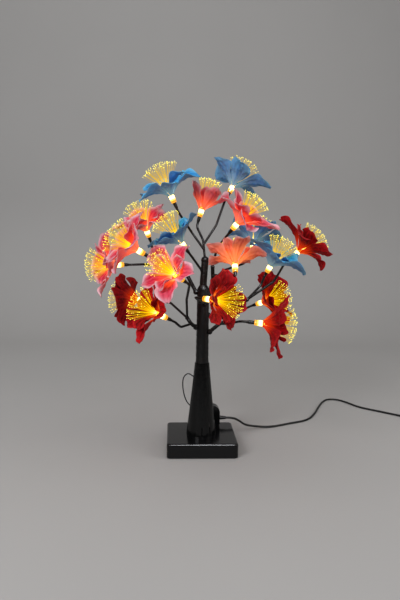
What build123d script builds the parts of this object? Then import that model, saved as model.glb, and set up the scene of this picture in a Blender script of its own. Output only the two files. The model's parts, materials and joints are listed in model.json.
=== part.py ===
"""Table lamp in the form of a small flowering tree.

A weighted square base carries a fluted hollow trunk. A tape-wrapped wire bundle rises out of the
trunk and forks into limbs. Every twig ends in a light-emitting diode in a clear sleeve, with a
fabric flower threaded on the sleeve and a tuft of light-guide fibres pushed into its mouth.
A switch box behind the trunk takes the supply cord and feeds the tree through a thin looped lead.

Units are millimetres. The origin is the middle of the underside, +Z is up, the front is -Y.
"""

from build123d import *
import math
import os
from dataclasses import dataclass

# Base
BASE_W = 105.0
BASE_TOP = 22.0
BASE_CORNER_R = 6.0
BASE_EDGE_R = 3.0
BASE_WALL = 2.6
PLATE_T = 2.6
PLATE_GAP = 0.25
FOOT_PAD_PROUD = 1.2
FOOT_PAD_SUNK = 0.8
FOOT_PAD_EDGE = 4.0
POST_R = 4.0
POST_INSET = 11.0
BALLAST_T = 7.0
BALLAST_GAP = 1.0

# Screws
SCREW_R = 1.2
SCREW_HEAD_R = 2.5
SCREW_HEAD_H = 1.5
SCREW_LEN = 10.0
SCREW_CLEAR = 0.15

# Trunk foot, a hollow fluted cone
FOOT_R = 22.8
FOOT_MID_R = 17.2
FOOT_MID_SHARE = 0.45
FOOT_TOP_R = 11.0
FOOT_LEN = 110.0
FOOT_WALL = 2.2
FLUTES = 10
FLUTE_R = 2.4
FLUTE_DEPTH = 0.6
TRUNK_BOSS_R = 3.6
TRUNK_BOSS_H = 14.0
TRUNK_SCREWS = 3

# Upper trunk, the wire bundle under its tape
WRAP_LEN = 118.0
WRAP_LOW_R = 9.9
WRAP_TOP_R = 9.1
WRAP_SPIGOT_R = 7.9
WRAP_SPIGOT_LEN = 18.0
WRAP_LAPS = 11
WRAP_LAP_STEP = 0.35
WRAP_DOME = 5.0
BUNDLE_R = 3.0
SLIDE_CLEAR = 0.15

# Limbs
LEADER_R = 5.4
LEADER_SINK = 9.0
LIMB_R = 2.9
TWIG_R = 1.8
ROOT_BALL_R = 4.3
ROOT_PROUD = 1.8
ROOT_CLEAR = 0.3
TWIG_BEND_R = 12.0
SHRINK_R = 2.6
SHRINK_TAPER = 5.0
STEM_STRAIGHT = 0.5
FORK_SWELL = 1.12

# Lamp in its sleeve at the end of every twig
SLEEVE_R = 4.0
SLEEVE_BORE_R = 2.7
SLEEVE_LEN = 12.0
SLEEVE_OVER = 4.5
STEM_IN = 1.0
LED_R = 2.5
LED_LEN = 7.4
LED_GAP = 0.15
FERRULE_LEN = 5.0
FERRULE_GAP = 0.2

# Flower of two whorls of petals
HUB_CLEAR = 0.05
HUB_T = 1.1
HUB_H = 1.8
OUTER_PETALS = 5
INNER_PETALS = 3
OUTER_HUB_Z = 8.0
INNER_HUB_Z = 10.6
PETAL_T = 0.7
PETAL_WIDTH = 0.54
PETAL_CUP = 0.16
INNER_LENGTH = 0.78
INNER_WIDTH = 0.46
OUTER_START = 38.0
INNER_START = 22.0
INNER_OPENING = 0.74
PETAL_STATIONS = ((0.0, 0.17), (0.3, 0.62), (0.6, 1.0), (0.85, 0.82), (1.0, 0.28))

# Fibre tuft
FIBRES = 24
FIBRE_R = 0.3
FIBRE_ROOT_R = 2.0
FIBRE_SUNK = 0.6
GOLDEN_ANGLE = 137.508

# Switch box behind the trunk
BOX_W = 40.0
BOX_D = 17.0
BOX_H = 32.0
BOX_X = 12.0
BOX_REAR_Y = BASE_W / 2 - 1.5
BOX_TOP_R = 11.0
BOX_LOW_R = 3.0
BOX_WALL = 1.8
LID_D = 4.5
LID_LIP = 1.4
LID_CLEAR = 0.15
BOARD_T = 1.6
BOARD_GAP = 2.4
BOARD_POST_R = 2.0
SWITCH_W = 6.0
SWITCH_H = 3.4
BUTTON_R = 4.6
BUTTON_CLEAR = 0.3
BUTTON_FLANGE_R = 6.2
BUTTON_FLANGE_T = 1.0
BUTTON_PROUD = 2.4
BUTTON_TRAVEL = 1.2
BUTTON_UP = 18.0
LEAD_D = 1.8
LEAD_CLEAR = 0.3

# Supply cord, its relief, the wound rest and the plug
CORD_D = 3.6
RELIEF_R = 3.4
RELIEF_TIP_R = 2.5
RELIEF_LEN = 10.0
RELIEF_FLANGE_T = 1.2
RELIEF_UP = 11.0
CORD_STRAIGHT = 12.0
COIL_X = 424.0
COIL_Y = 150.0
COIL_R = 28.0
COIL_GAP = 0.5
COIL_HALF_TURNS = 8
TIE_T = 0.7
TIE_W = 4.0
TIE_CLEAR = 0.5
TAIL_LEN = 12.0
TAIL_DROP_LEN = 26.0
PLUG_W = 12.6
PLUG_H = 8.0
PLUG_LEN = 18.0
PLUG_BOOT_R = 2.8
PLUG_BOOT_LEN = 8.0
SHELL_W = 12.0
SHELL_H = 4.5
SHELL_LEN = 14.0
SHELL_WALL = 0.4
SHELL_SUNK = 4.0

# Levels and places worked out from the sizes above
FOOT_TOP = BASE_TOP + FOOT_LEN
TRUNK_TOP = FOOT_TOP + WRAP_LEN
PLATE_TOP = FOOT_PAD_PROUD + PLATE_T
CEILING = BASE_TOP - BASE_WALL
CAVITY_W = BASE_W - 2 * BASE_WALL
CORD_R = CORD_D / 2
LEAD_R = LEAD_D / 2
BOX_FRONT_Y = BOX_REAR_Y - BOX_D
BOX_SPLIT_Y = BOX_REAR_Y - LID_D
COIL_LOW = TIE_T + 0.2 + CORD_R
COIL_STEP = CORD_D + COIL_GAP


@dataclass(frozen=True)
class Flower:
    """One flower: the rear of its sleeve, where it faces and how its petals open.

    The seat is x and y from the trunk's axis and the height above the trunk's top. Azimuth 0
    faces the front, 90 the right. Petal is the length of the outer petals, opening the angle
    of their tips from the flower's axis, phase sets the unevenness of the petals.
    """
    name: str
    seat: tuple
    azimuth: float
    elevation: float
    petal: float
    opening: float
    phase: float
    spread: float
    roll: float = 0.0
    fibre: float = 42.0
    stem: float = 20.0


@dataclass(frozen=True)
class Limb:
    """One limb: where it leaves the trunk, its main run and the twigs that fork from it.

    Root is the bearing around the trunk in degrees, 0 to the right, and the drop below the
    trunk's top. A twig is a start, via points and the flower that it ends in.
    """
    name: str
    root: tuple
    main: tuple
    twigs: tuple
    radius: float = LIMB_R


FLOWERS = {f.name: f for f in (
    Flower("blue_top_left", (-47, -8, 126), -78, 64, 47, 100, 0.3, 40, fibre=44),
    Flower("blue_top_right", (43, 43, 147), 120, 58, 48, 92, 1.1, 40),
    Flower("blue_centre", (-30, -21, 58), -70, 50, 46, 95, 2.2, 36, roll=12, stem=18),
    Flower("blue_right", (99, 4, 25), 60, 60, 50, 102, 3.1, 40, stem=12),
    Flower("blue_rear", (82, 60, 58), 150, 70, 48, 95, 4.0, 40, stem=16),
    Flower("pink_far_left", (-126, 21, 29), -62, 0, 46, 92, 5.2, 40),
    Flower("pink_left", (-90, -60, 49), -72, 30, 48, 92, 0.9, 40),
    Flower("pink_upper_left", (-86, 53, 77), -35, 58, 46, 98, 1.9, 36),
    Flower("pink_front_left", (-36, -91, 15), -45, 26, 46, 104, 2.8, 34),
    Flower("pink_top", (-5, 20, 108), 100, 74, 44, 50, 3.7, 26),
    Flower("pink_upper_right", (41, -38, 87), 60, 48, 48, 92, 4.6, 32, stem=18),
    Flower("coral_centre", (41, -59, 27), 180, 60, 45, 98, 5.5, 38, roll=24, fibre=32, stem=10),
    Flower("red_lower_left", (-58, -57, -41), -62, 26, 46, 96, 0.1, 40),
    Flower("red_far_left", (-94, 48, -28), -105, 5, 46, 92, 1.3, 40),
    Flower("red_centre", (1, -59, -15), 55, -2, 47, 86, 2.5, 36, stem=12),
    Flower("red_right", (95, 59, -32), 52, 20, 49, 86, 3.4, 38, roll=48),
    Flower("red_lower_right", (73, -69, -47), 80, -4, 46, 88, 4.3, 38, stem=24),
    Flower("red_far_right", (148, 44, 48), 90, 42, 50, 105, 5.9, 40, stem=22),
)}

LIMBS = (
    Limb("leader_limb", None, ((0, 0, -LEADER_SINK), (0, 0, 5), (2, 0, 38)), (
        (((2, 0, 38), (-1, 5, 68)), "pink_top"),
        (((1, 2, 53), (-18, 4, 79)), "blue_top_left"),
        (((0, 4, 62), (19, 13, 91)), "blue_top_right"),
        (((1, 0, 8), (-4, -6, 24)), "blue_centre")), LEADER_R),
    Limb("upper_limb", (40, 14), ((15, 9, 6), (14, 5, 28)), (
        (((14, 5, 28), (19, -6, 56)), "pink_upper_right"),
        (((14.5, 7, 16), (26, -28, 16)), "coral_centre"),
        (((15, 9, 6), (32, 26, 22), (66, 50, 32)), "blue_rear"))),
    Limb("front_twig", (-90, 25), ((-6, -26, -22),), (
        (((-6, -26, -22), (-14, -46, -14)), "red_centre"),)),
    Limb("left_limb", (180, 10), ((-26, 0, 18), (-60, 4, 30)), (
        (((-60, 4, 30), (-92, 24, 30)), "pink_far_left"),
        (((-52, 3, 27), (-62, -30, 32)), "pink_left"),
        (((-60, 4, 30), (-78, 36, 42)), "pink_upper_left"))),
    Limb("lower_left_limb", (198, 63), ((-18, -12, -57), (-24, -11, -48)), (
        (((-18, -12, -57), (-34, -40, -58)), "red_lower_left"),
        (((-24, -11, -48), (-50, 20, -28)), "red_far_left"),
        (((-24, -11, -48), (-26, -40, -18)), "pink_front_left"))),
    Limb("lower_right_limb", (-18, 70), ((25, -2, -58),), (
        (((25, -2, -58), (48, 26, -50)), "red_right"),
        (((25, -2, -58), (36, -30, -54)), "red_lower_right"))),
    Limb("right_limb", (30, 46), ((36, 4, -42), (66, -8, -20)), (
        (((66, -8, -20), (86, -10, 2)), "blue_right"),
        (((66, -8, -20), (106, -8, 8)), "red_far_right"))),
)

# The limbs that can be bent at their roots. What they carry is grouped with them.
BENDING_LIMBS = ("left_limb", "lower_left_limb", "lower_right_limb", "right_limb")

LEAD_ROUTE = (
    (-5.0, 0.0, 80.0), (-18.0, 1.0, 95.0), (-28.5, 2.5, 88.0), (-29.5, 4.5, 72.0),
    (-26.0, 8.0, 54.0), (-20.0, 16.0, 40.0), (-7.0, 27.0, 29.0), (-2.0, BOX_REAR_Y - 13.5, 26.0),
)

CORD_ROUTE = (
    (66.0, 48.0, 25.0), (77.0, 62.0, 13.5), (99.0, 83.0, 4.0), (127.0, 87.0, CORD_R),
    (163.0, 107.0, CORD_R), (199.0, 124.0, CORD_R), (222.0, 164.0, CORD_R),
    (239.0, 204.0, CORD_R), (256.0, 240.0, CORD_R), (272.0, 262.0, CORD_R),
    (292.0, 262.0, CORD_R), (307.0, 240.0, CORD_R), (319.0, 206.0, CORD_R),
    (348.0, 180.0, CORD_R), (378.0, 150.0, CORD_R + 0.3), (402.0, COIL_Y - COIL_R, COIL_LOW),
    (COIL_X - CORD_D, COIL_Y - COIL_R, COIL_LOW),
)


def facing(azimuth, elevation):
    """Unit vector for a bearing from the front and a height above the horizon."""
    a, e = math.radians(azimuth), math.radians(elevation)
    return Vector(math.sin(a) * math.cos(e), -math.cos(a) * math.cos(e), math.sin(e))


def axis_plane(origin, direction, roll=0.0):
    """Plane whose normal is the direction, with its X level and then rolled about it."""
    up = Vector(0, 0, 1) if abs(direction.Z) < 0.95 else Vector(0, 1, 0)
    level = up.cross(direction)
    return Plane(origin=origin, x_dir=level.rotate(Axis((0, 0, 0), direction), roll), z_dir=direction)


def crown_point(point):
    """Point of the crown in the lamp's frame. Heights are counted from the trunk's top."""
    return Vector(point[0], point[1], TRUNK_TOP + point[2])


def flower_plane(flower):
    """Frame of a flower: origin just behind its lamp, Z the way it faces."""
    return axis_plane(crown_point(flower.seat), facing(flower.azimuth, flower.elevation), flower.roll)


def cylinder(plane, radius, start, end):
    """Solid cylinder along the plane's normal between two heights."""
    return extrude(plane.offset(start) * Circle(radius), end - start)


def tube_between(plane, outer, inner, start, end):
    """Hollow cylinder along the plane's normal."""
    return extrude(plane.offset(start) * (Circle(outer) - Circle(inner)), end - start)


def corner_radii(points, share=0.45, cap=None):
    """Bend radius at each inner point: as large as the two runs beside it allow."""
    radii = []
    for before, here, after in zip(points, points[1:], points[2:]):
        run_in, run_out = here - before, after - here
        turn = math.radians(run_in.get_angle(run_out))
        radius = share * min(run_in.length, run_out.length) / math.tan(turn / 2)
        radii.append(min(radius, cap) if cap else radius)
    return radii


def swept_tube(points, radius, cap=None):
    """Round tube along straight runs joined by tangent arcs. Returns the solid, path and radii."""
    points = [Vector(*p) for p in points]
    if len(points) == 2:
        path, radii = Line(*points), []
    else:
        radii = corner_radii(points, cap=cap)
        path = FilletPolyline(*points, radius=radii)
    section = Plane(origin=path @ 0, z_dir=path % 0) * Circle(radius)
    return sweep(section, path=path), path, radii


def ball(centre, radius):
    """Sphere at a point, turned so that its seam and poles lie clear of the tubes that meet it."""
    return Pos(*centre) * Rot(35, 25, 0) * Sphere(radius)


# Base
def post_places():
    """Places of the four screw posts under the base's top."""
    half = BASE_W / 2 - POST_INSET
    return [(x, y) for x in (-half, half) for y in (-half, half)]


def pad_width():
    """Width of the foam sheet, which lies between the screws."""
    return BASE_W - 2 * (POST_INSET + SCREW_HEAD_R + FOOT_PAD_EDGE)


def trunk_screw_places():
    """Places of the screws that hold the trunk's foot to the base's top."""
    ring = FOOT_R - FOOT_WALL - TRUNK_BOSS_R + 0.8
    step = 2 * math.pi / TRUNK_SCREWS
    return [(ring * math.cos(step * k + 0.5), ring * math.sin(step * k + 0.5)) for k in range(TRUNK_SCREWS)]


def base_shell():
    """Moulded square slab, open below, with screw posts."""
    block = extrude(Pos(0, 0, FOOT_PAD_PROUD) * RectangleRounded(BASE_W, BASE_W, BASE_CORNER_R),
                    BASE_TOP - FOOT_PAD_PROUD)
    block = fillet(block.faces().sort_by(Axis.Z)[-1].edges(), BASE_EDGE_R)
    inner_r = max(BASE_CORNER_R - BASE_WALL, 0.5)
    cavity = extrude(Pos(0, 0, FOOT_PAD_PROUD) * RectangleRounded(CAVITY_W, CAVITY_W, inner_r),
                     CEILING - FOOT_PAD_PROUD)
    shell = block - cavity
    for x, y in post_places():
        shell += cylinder(Plane((x, y, 0)), POST_R, PLATE_TOP, CEILING + 0.5)
    for x, y in post_places():
        shell -= cylinder(Plane((x, y, 0)), SCREW_R + SCREW_CLEAR, PLATE_TOP, CEILING - 1)
    for x, y in trunk_screw_places():
        shell -= cylinder(Plane((x, y, 0)), SCREW_R + SCREW_CLEAR, CEILING - 1, BASE_TOP + 1)
    return shell


def base_plate():
    """Bottom cover with sunk screw holes and a shallow seat for the foam sheet."""
    width = CAVITY_W - 2 * PLATE_GAP
    corner = max(BASE_CORNER_R - BASE_WALL - PLATE_GAP, 0.4)
    plate = extrude(Pos(0, 0, FOOT_PAD_PROUD) * RectangleRounded(width, width, corner), PLATE_T)
    for x, y in post_places():
        at = Plane((x, y, FOOT_PAD_PROUD))
        plate -= cylinder(at, SCREW_R + SCREW_CLEAR, -1, PLATE_T + 1)
        plate -= cylinder(at, SCREW_HEAD_R + SCREW_CLEAR, -1, SCREW_HEAD_H + SCREW_CLEAR)
    seat = pad_width() + 2 * SCREW_CLEAR
    return plate - extrude(Pos(0, 0, FOOT_PAD_PROUD) * RectangleRounded(seat, seat, 4), FOOT_PAD_SUNK)


def base_screws():
    """Four self-tapping screws through the bottom cover into the posts."""
    head = FOOT_PAD_PROUD + SCREW_CLEAR
    return [cylinder(Plane((x, y, 0)), SCREW_HEAD_R, head, head + SCREW_HEAD_H)
            + cylinder(Plane((x, y, 0)), SCREW_R, head, head + SCREW_HEAD_H + SCREW_LEN)
            for x, y in post_places()]


def foot_pad():
    """Foam sheet stuck under the bottom cover, which the lamp stands on."""
    return extrude(RectangleRounded(pad_width(), pad_width(), 4 - SCREW_CLEAR), FOOT_PAD_PROUD + FOOT_PAD_SUNK)


def ballast_plate():
    """Steel weight that lies on the bottom cover between the posts."""
    width = BASE_W - 2 * (POST_INSET + POST_R + BALLAST_GAP)
    slab = extrude(Pos(0, 0, PLATE_TOP) * RectangleRounded(width, width, 3), BALLAST_T)
    return chamfer(slab.edges().group_by(Axis.Z)[-1], 0.8)


# Trunk
def foot_profile(inset):
    """Points of the trunk foot's concave side, from the base up, moved in by a distance."""
    mid = BASE_TOP + FOOT_MID_SHARE * FOOT_LEN
    return ((FOOT_R - inset, 0, BASE_TOP), (FOOT_MID_R - inset, 0, mid), (FOOT_TOP_R - inset, 0, FOOT_TOP))


def trunk_foot():
    """Hollow fluted cone with screw bosses inside and a hole for the lead."""
    outer, inner = foot_profile(0), foot_profile(FOOT_WALL)
    bore = WRAP_SPIGOT_R + SLIDE_CLEAR
    shelf = FOOT_TOP - WRAP_SPIGOT_LEN
    outside = make_face(ThreePointArc(*outer) + Polyline(outer[2], (0, 0, FOOT_TOP), (0, 0, BASE_TOP), outer[0]))
    inside = make_face(ThreePointArc(*inner) + Polyline(inner[2], (0, 0, FOOT_TOP), (0, 0, BASE_TOP), inner[0]))
    body = revolve(outside, Axis.Z)
    hollow = revolve(inside, Axis.Z) & cylinder(Plane.XY, FOOT_R, BASE_TOP, shelf)
    body -= hollow
    body -= cylinder(Plane.XY, bore, shelf - 1, FOOT_TOP + 1)
    for x, y in trunk_screw_places():
        boss = cylinder(Plane((x, y, 0)), TRUNK_BOSS_R, BASE_TOP, BASE_TOP + TRUNK_BOSS_H)
        body += boss & revolve(outside, Axis.Z)
    for x, y in trunk_screw_places():
        body -= cylinder(Plane((x, y, 0)), SCREW_R + SCREW_CLEAR, BASE_TOP - 1, BASE_TOP + TRUNK_BOSS_H - 2)
    groove = ThreePointArc(*foot_profile(FLUTE_DEPTH - FLUTE_R))
    cutter = sweep(Plane(origin=groove @ 0, z_dir=groove % 0) * Circle(FLUTE_R), path=groove)
    for k in range(FLUTES):
        body -= Rot(0, 0, 360 / FLUTES * (k + 0.5)) * cutter
    start, second = (Vector(x, y, BASE_TOP + z) for x, y, z in LEAD_ROUTE[:2])
    return body - cylinder(Plane(origin=start, z_dir=second - start), LEAD_R + LEAD_CLEAR, 0, 16)


def trunk_screws():
    """Screws from inside the base up into the trunk foot's bosses."""
    return [cylinder(Plane((x, y, 0)), SCREW_HEAD_R, CEILING - SCREW_HEAD_H, CEILING)
            + cylinder(Plane((x, y, 0)), SCREW_R, CEILING - SCREW_HEAD_H, CEILING + SCREW_LEN)
            for x, y in trunk_screw_places()]


def wrap_radius(height):
    """Radius of the wrapped trunk at a height, without its laps."""
    share = (height - FOOT_TOP) / WRAP_LEN
    return WRAP_LOW_R + (WRAP_TOP_R - WRAP_LOW_R) * math.sqrt(min(max(share, 0), 1))


def limb_root(limb):
    """Middle of the ball at a limb's root, standing a little proud of the wrapped trunk."""
    bearing, drop = limb.root
    height = TRUNK_TOP - drop
    reach = wrap_radius(height) + ROOT_PROUD
    return Vector(reach * math.cos(math.radians(bearing)), reach * math.sin(math.radians(bearing)), height)


def trunk_wrap():
    """Tape-wrapped bundle: lapped bands outside, bored for the wires, with a pocket for each limb."""
    low = FOOT_TOP - WRAP_SPIGOT_LEN
    lap = (WRAP_LEN - WRAP_DOME) / WRAP_LAPS
    side = [(0, 0, low), (WRAP_SPIGOT_R, 0, low), (WRAP_SPIGOT_R, 0, FOOT_TOP)]
    for k in range(WRAP_LAPS):
        bottom, top = FOOT_TOP + lap * k, FOOT_TOP + lap * (k + 1)
        side += [(wrap_radius(bottom) + WRAP_LAP_STEP / 2, 0, bottom),
                 (wrap_radius(top) - WRAP_LAP_STEP / 2, 0, top)]
    crown = LEADER_R + 0.8
    side += [(crown, 0, TRUNK_TOP), (0, 0, TRUNK_TOP), (0, 0, low)]
    body = revolve(make_face(Polyline(*side)), Axis.Z)
    body -= cylinder(Plane.XY, BUNDLE_R + SLIDE_CLEAR, low - 1, TRUNK_TOP - LEADER_SINK)
    body -= cylinder(Plane.XY, LEADER_R + SLIDE_CLEAR, TRUNK_TOP - LEADER_SINK, TRUNK_TOP + 1)
    for limb in LIMBS:
        if limb.root:
            body -= ball(limb_root(limb), ROOT_BALL_R + ROOT_CLEAR)
    return body


def lead_bundle():
    """The wires of all the lamps, run together up the middle of the trunk."""
    return cylinder(Plane.XY, BUNDLE_R, BASE_TOP + 3, TRUNK_TOP - LEADER_SINK - SLIDE_CLEAR)


# Limbs and what they carry
def shrunk_tube(flower):
    """Shrunk tube over a twig's last stretch, tapered at its rear, that ends inside the sleeve."""
    rear = -STEM_STRAIGHT * flower.stem
    side = Polyline((0, 0, rear - SHRINK_TAPER), (0.9 * TWIG_R, 0, rear - SHRINK_TAPER), (SHRINK_R, 0, rear),
                    (SHRINK_R, 0, STEM_IN), (0, 0, STEM_IN), close=True)
    return flower_plane(flower) * revolve(make_face(side), Axis.Z)


def limb_solid(limb):
    """Wrapped wire limb with its forks, and the shrunk tube where each twig meets its sleeve."""
    main = [crown_point(p) for p in limb.main]
    if limb.root:
        main.insert(0, limb_root(limb))
    solid, _, _ = swept_tube(main, limb.radius, TWIG_BEND_R)
    pieces = [ball(main[-1], FORK_SWELL * limb.radius)]
    if limb.root:
        pieces.append(ball(main[0], ROOT_BALL_R))
    for route, flower_name in limb.twigs:
        flower = FLOWERS[flower_name]
        plane = flower_plane(flower)
        stem = plane.origin - plane.z_dir * flower.stem
        twig, _, _ = swept_tube([*map(crown_point, route), stem, plane.origin], TWIG_R, TWIG_BEND_R)
        pieces += [twig, shrunk_tube(flower)]
    return solid.fuse(*pieces)


def flowers_on(limb_names):
    """Flowers carried by the named limbs."""
    return [FLOWERS[name] for limb in LIMBS if limb.name in limb_names for _, name in limb.twigs]


def led_sleeve(flower):
    """Clear tube that joins lamp, twig, petals and fibres, pushed some way over the shrunk tube."""
    sleeve = tube_between(flower_plane(flower), SLEEVE_R, SLEEVE_BORE_R, -SLEEVE_OVER, SLEEVE_LEN)
    rims = sleeve.edges().filter_by(GeomType.CIRCLE).filter_by(lambda edge: edge.radius > SLEEVE_BORE_R + 0.1)
    return chamfer(rims, 0.3)


def led_lamp(flower):
    """Small round lamp with a domed end."""
    foot = STEM_IN + LED_GAP
    shoulder = foot + LED_LEN - LED_R
    side = make_face(Line((0, 0, foot), (LED_R, 0, foot)) + Line((LED_R, 0, foot), (LED_R, 0, shoulder))
                     + ThreePointArc((LED_R, 0, shoulder), (LED_R * math.sqrt(0.5), 0, shoulder + LED_R * math.sqrt(0.5)),
                                     (0, 0, shoulder + LED_R)) + Line((0, 0, shoulder + LED_R), (0, 0, foot)))
    return flower_plane(flower) * revolve(side, Axis.Z)


def tuft_root():
    """Height of the ferrule's end face, where the fibres start, in the flower's frame."""
    return STEM_IN + LED_GAP + LED_LEN + FERRULE_GAP + FERRULE_LEN


def fibre_tuft(flower):
    """Three-sided fibres that fan out of a short ferrule, spread like seeds in a head."""
    end = tuft_root()
    ferrule = cylinder(Plane.XY, SLEEVE_BORE_R - 0.1, end - FERRULE_LEN, end)
    strands = []
    for k in range(FIBRES):
        share = math.sqrt((k + 0.5) / FIBRES)
        turn = math.radians(GOLDEN_ANGLE * k) + flower.phase
        tilt = math.radians(flower.spread) * share
        across = Vector(math.cos(turn), math.sin(turn), 0)
        direction = across * math.sin(tilt) + Vector(0, 0, math.cos(tilt))
        root = across * FIBRE_ROOT_R * share + Vector(0, 0, end)
        at = axis_plane(root, direction)
        strands.append(extrude(at.offset(-FIBRE_SUNK) * RegularPolygon(FIBRE_R, 3), flower.fibre + FIBRE_SUNK))
    return flower_plane(flower) * ferrule.fuse(*strands)


# Petals
def petal(length, width, start, opening, height):
    """Thin cupped petal: its middle line is an arc that opens from one angle to another."""
    first, last = math.radians(start), math.radians(opening)
    bend = last - first
    hub = SLEEVE_R + HUB_CLEAR + HUB_T - 0.15
    sections = []
    for share, breadth in PETAL_STATIONS:
        angle = first + bend * share
        out = hub + length / bend * (math.cos(first) - math.cos(angle))
        up = height + length / bend * (math.sin(angle) - math.sin(first))
        half = breadth * width / 2
        rise = 2 * PETAL_CUP * half
        low = ThreePointArc((-half, rise), (0, 0), (half, rise))
        high = ThreePointArc((half, rise + PETAL_T), (0, PETAL_T), (-half, rise + PETAL_T))
        face = make_face(low + Line(low @ 1, high @ 0) + high + Line(high @ 1, low @ 0))
        tangent = Vector(math.sin(angle), 0, math.cos(angle))
        sections.append(Plane(origin=(out, 0, up), x_dir=(0, 1, 0), z_dir=tangent) * face)
    return loft(sections)


def whorl(count, height, shapes):
    """Ring on the sleeve with its petals. Shapes give each petal's bearing and sizes."""
    bore = SLEEVE_R + HUB_CLEAR
    ring = tube_between(Plane.XY, bore + HUB_T, bore, height - HUB_H / 2, height + HUB_H / 2)
    return ring.fuse(*[Rot(0, 0, bearing) * petal(*sizes, height) for bearing, sizes in shapes])


def outer_shapes(flower):
    """Bearings and sizes of the outer petals, uneven as in a pressed fabric flower."""
    shapes = []
    for k in range(OUTER_PETALS):
        long, wide = math.sin(2.3 * k + flower.phase), math.sin(1.7 * k + 2.1 * flower.phase)
        sizes = (flower.petal * (1 + 0.10 * long), flower.petal * PETAL_WIDTH * (1 + 0.08 * wide),
                 OUTER_START, flower.opening + 16 * wide)
        shapes.append((360 / OUTER_PETALS * k + 5 * wide, sizes))
    return shapes


def inner_shapes(flower):
    """Bearings and sizes of the inner petals, which stand more upright."""
    shapes = []
    for k in range(INNER_PETALS):
        sway = math.sin(2.9 * k + flower.phase + 1)
        sizes = (flower.petal * INNER_LENGTH * (1 + 0.1 * sway), flower.petal * INNER_WIDTH,
                 INNER_START, flower.opening * INNER_OPENING + 10 * sway)
        shapes.append((360 / INNER_PETALS * k + 36 + 12 * sway, sizes))
    return shapes


def flower_petals(flower):
    """Outer and inner whorl of one flower, threaded on its sleeve."""
    outer = whorl(OUTER_PETALS, OUTER_HUB_Z, outer_shapes(flower))
    inner = whorl(INNER_PETALS, INNER_HUB_Z, inner_shapes(flower))
    return [flower_plane(flower) * outer, flower_plane(flower) * inner]


# Switch box
def box_outline(inset):
    """Front outline of the switch box, with a high arched top, moved in by a distance."""
    left, right = BOX_X - BOX_W / 2 + inset, BOX_X + BOX_W / 2 - inset
    low, high = BASE_TOP + inset, BASE_TOP + BOX_H - inset
    face = make_face(Polyline((left, low), (right, low), (right, high), (left, high), (left, low)))
    corners = face.vertices().group_by(Axis.Y)
    face = fillet(corners[-1], BOX_TOP_R - inset)
    return fillet(face.vertices().group_by(Axis.Y)[0], max(BOX_LOW_R - inset, 0.6))


def box_slab(inset, front, rear):
    """Slab of the box's outline between two depths."""
    plane = Plane(origin=(0, front, 0), x_dir=(1, 0, 0), z_dir=(0, -1, 0))
    return extrude(plane * box_outline(inset), front - rear)


def board_front():
    """Depth of the circuit board's front face."""
    return BOX_SPLIT_Y - LID_LIP - BOARD_T - SWITCH_H - BUTTON_TRAVEL + 1.0


def relief_axis():
    """Plane of the cord's way out, on the box's right side."""
    middle = (BOX_FRONT_Y + BOX_SPLIT_Y) / 2
    return Plane(origin=(BOX_X + BOX_W / 2, middle, BASE_TOP + RELIEF_UP), z_dir=(1, 0, 0))


def lead_points():
    """Route of the thin lead in the lamp's frame."""
    return [Vector(x, y, BASE_TOP + z) for x, y, z in LEAD_ROUTE]


def board_posts():
    """Places of the posts that carry the circuit board."""
    reach = BOX_W / 2 - BOX_WALL - BOARD_GAP - BOARD_POST_R - 1
    return [(BOX_X + side * reach, BASE_TOP + BOX_WALL + BOARD_GAP + BOARD_POST_R + rise)
            for side in (-1, 1) for rise in (1, 14)]


def switch_box_shell():
    """Front half of the switch box, with board posts and holes for lead and cord."""
    shell = box_slab(0, BOX_FRONT_Y, BOX_SPLIT_Y) - box_slab(BOX_WALL, BOX_FRONT_Y + BOX_WALL, BOX_SPLIT_Y + 1)
    for x, z in board_posts():
        at = Plane(origin=(x, BOX_FRONT_Y + BOX_WALL - 0.2, z), z_dir=(0, 1, 0))
        shell += cylinder(at, BOARD_POST_R, 0, board_front() - BOX_FRONT_Y - BOX_WALL + 0.2)
    shell -= cylinder(relief_axis(), RELIEF_R + SLIDE_CLEAR, -BOX_WALL - 1, 1)
    end, before = lead_points()[-1], lead_points()[-2]
    return shell - cylinder(Plane(origin=end, z_dir=before - end), LEAD_R + LEAD_CLEAR, -2, 8)


def button_plane():
    """Plane of the push button, on the box's rear face, looking out of it."""
    return Plane(origin=(BOX_X, BOX_REAR_Y, BASE_TOP + BUTTON_UP), z_dir=(0, 1, 0))


def switch_box_lid():
    """Rear half of the switch box, with a locating lip and the button's hole."""
    lid = box_slab(0, BOX_SPLIT_Y, BOX_REAR_Y) - box_slab(BOX_WALL, BOX_SPLIT_Y - 1, BOX_REAR_Y - BOX_WALL)
    lip = BOX_WALL + LID_CLEAR
    lid += (box_slab(lip, BOX_SPLIT_Y - LID_LIP, BOX_REAR_Y - BOX_WALL)
            - box_slab(lip + 1.0, BOX_SPLIT_Y - LID_LIP - 1, BOX_REAR_Y))
    lid = lid - cylinder(button_plane(), BUTTON_R + BUTTON_CLEAR, -LID_D - 2, 1)
    return fillet(lid.faces().sort_by(Axis.Y)[-1].outer_wire().edges(), 0.8)


def power_button():
    """Round push button with the flange that keeps it in the box."""
    seat = -BOX_WALL - SLIDE_CLEAR
    button = cylinder(button_plane(), BUTTON_R, seat - BUTTON_FLANGE_T, BUTTON_PROUD)
    button += cylinder(button_plane(), BUTTON_FLANGE_R, seat - BUTTON_FLANGE_T, seat)
    return fillet(button.faces().sort_by(Axis.Y)[-1].edges(), 0.8)


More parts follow.
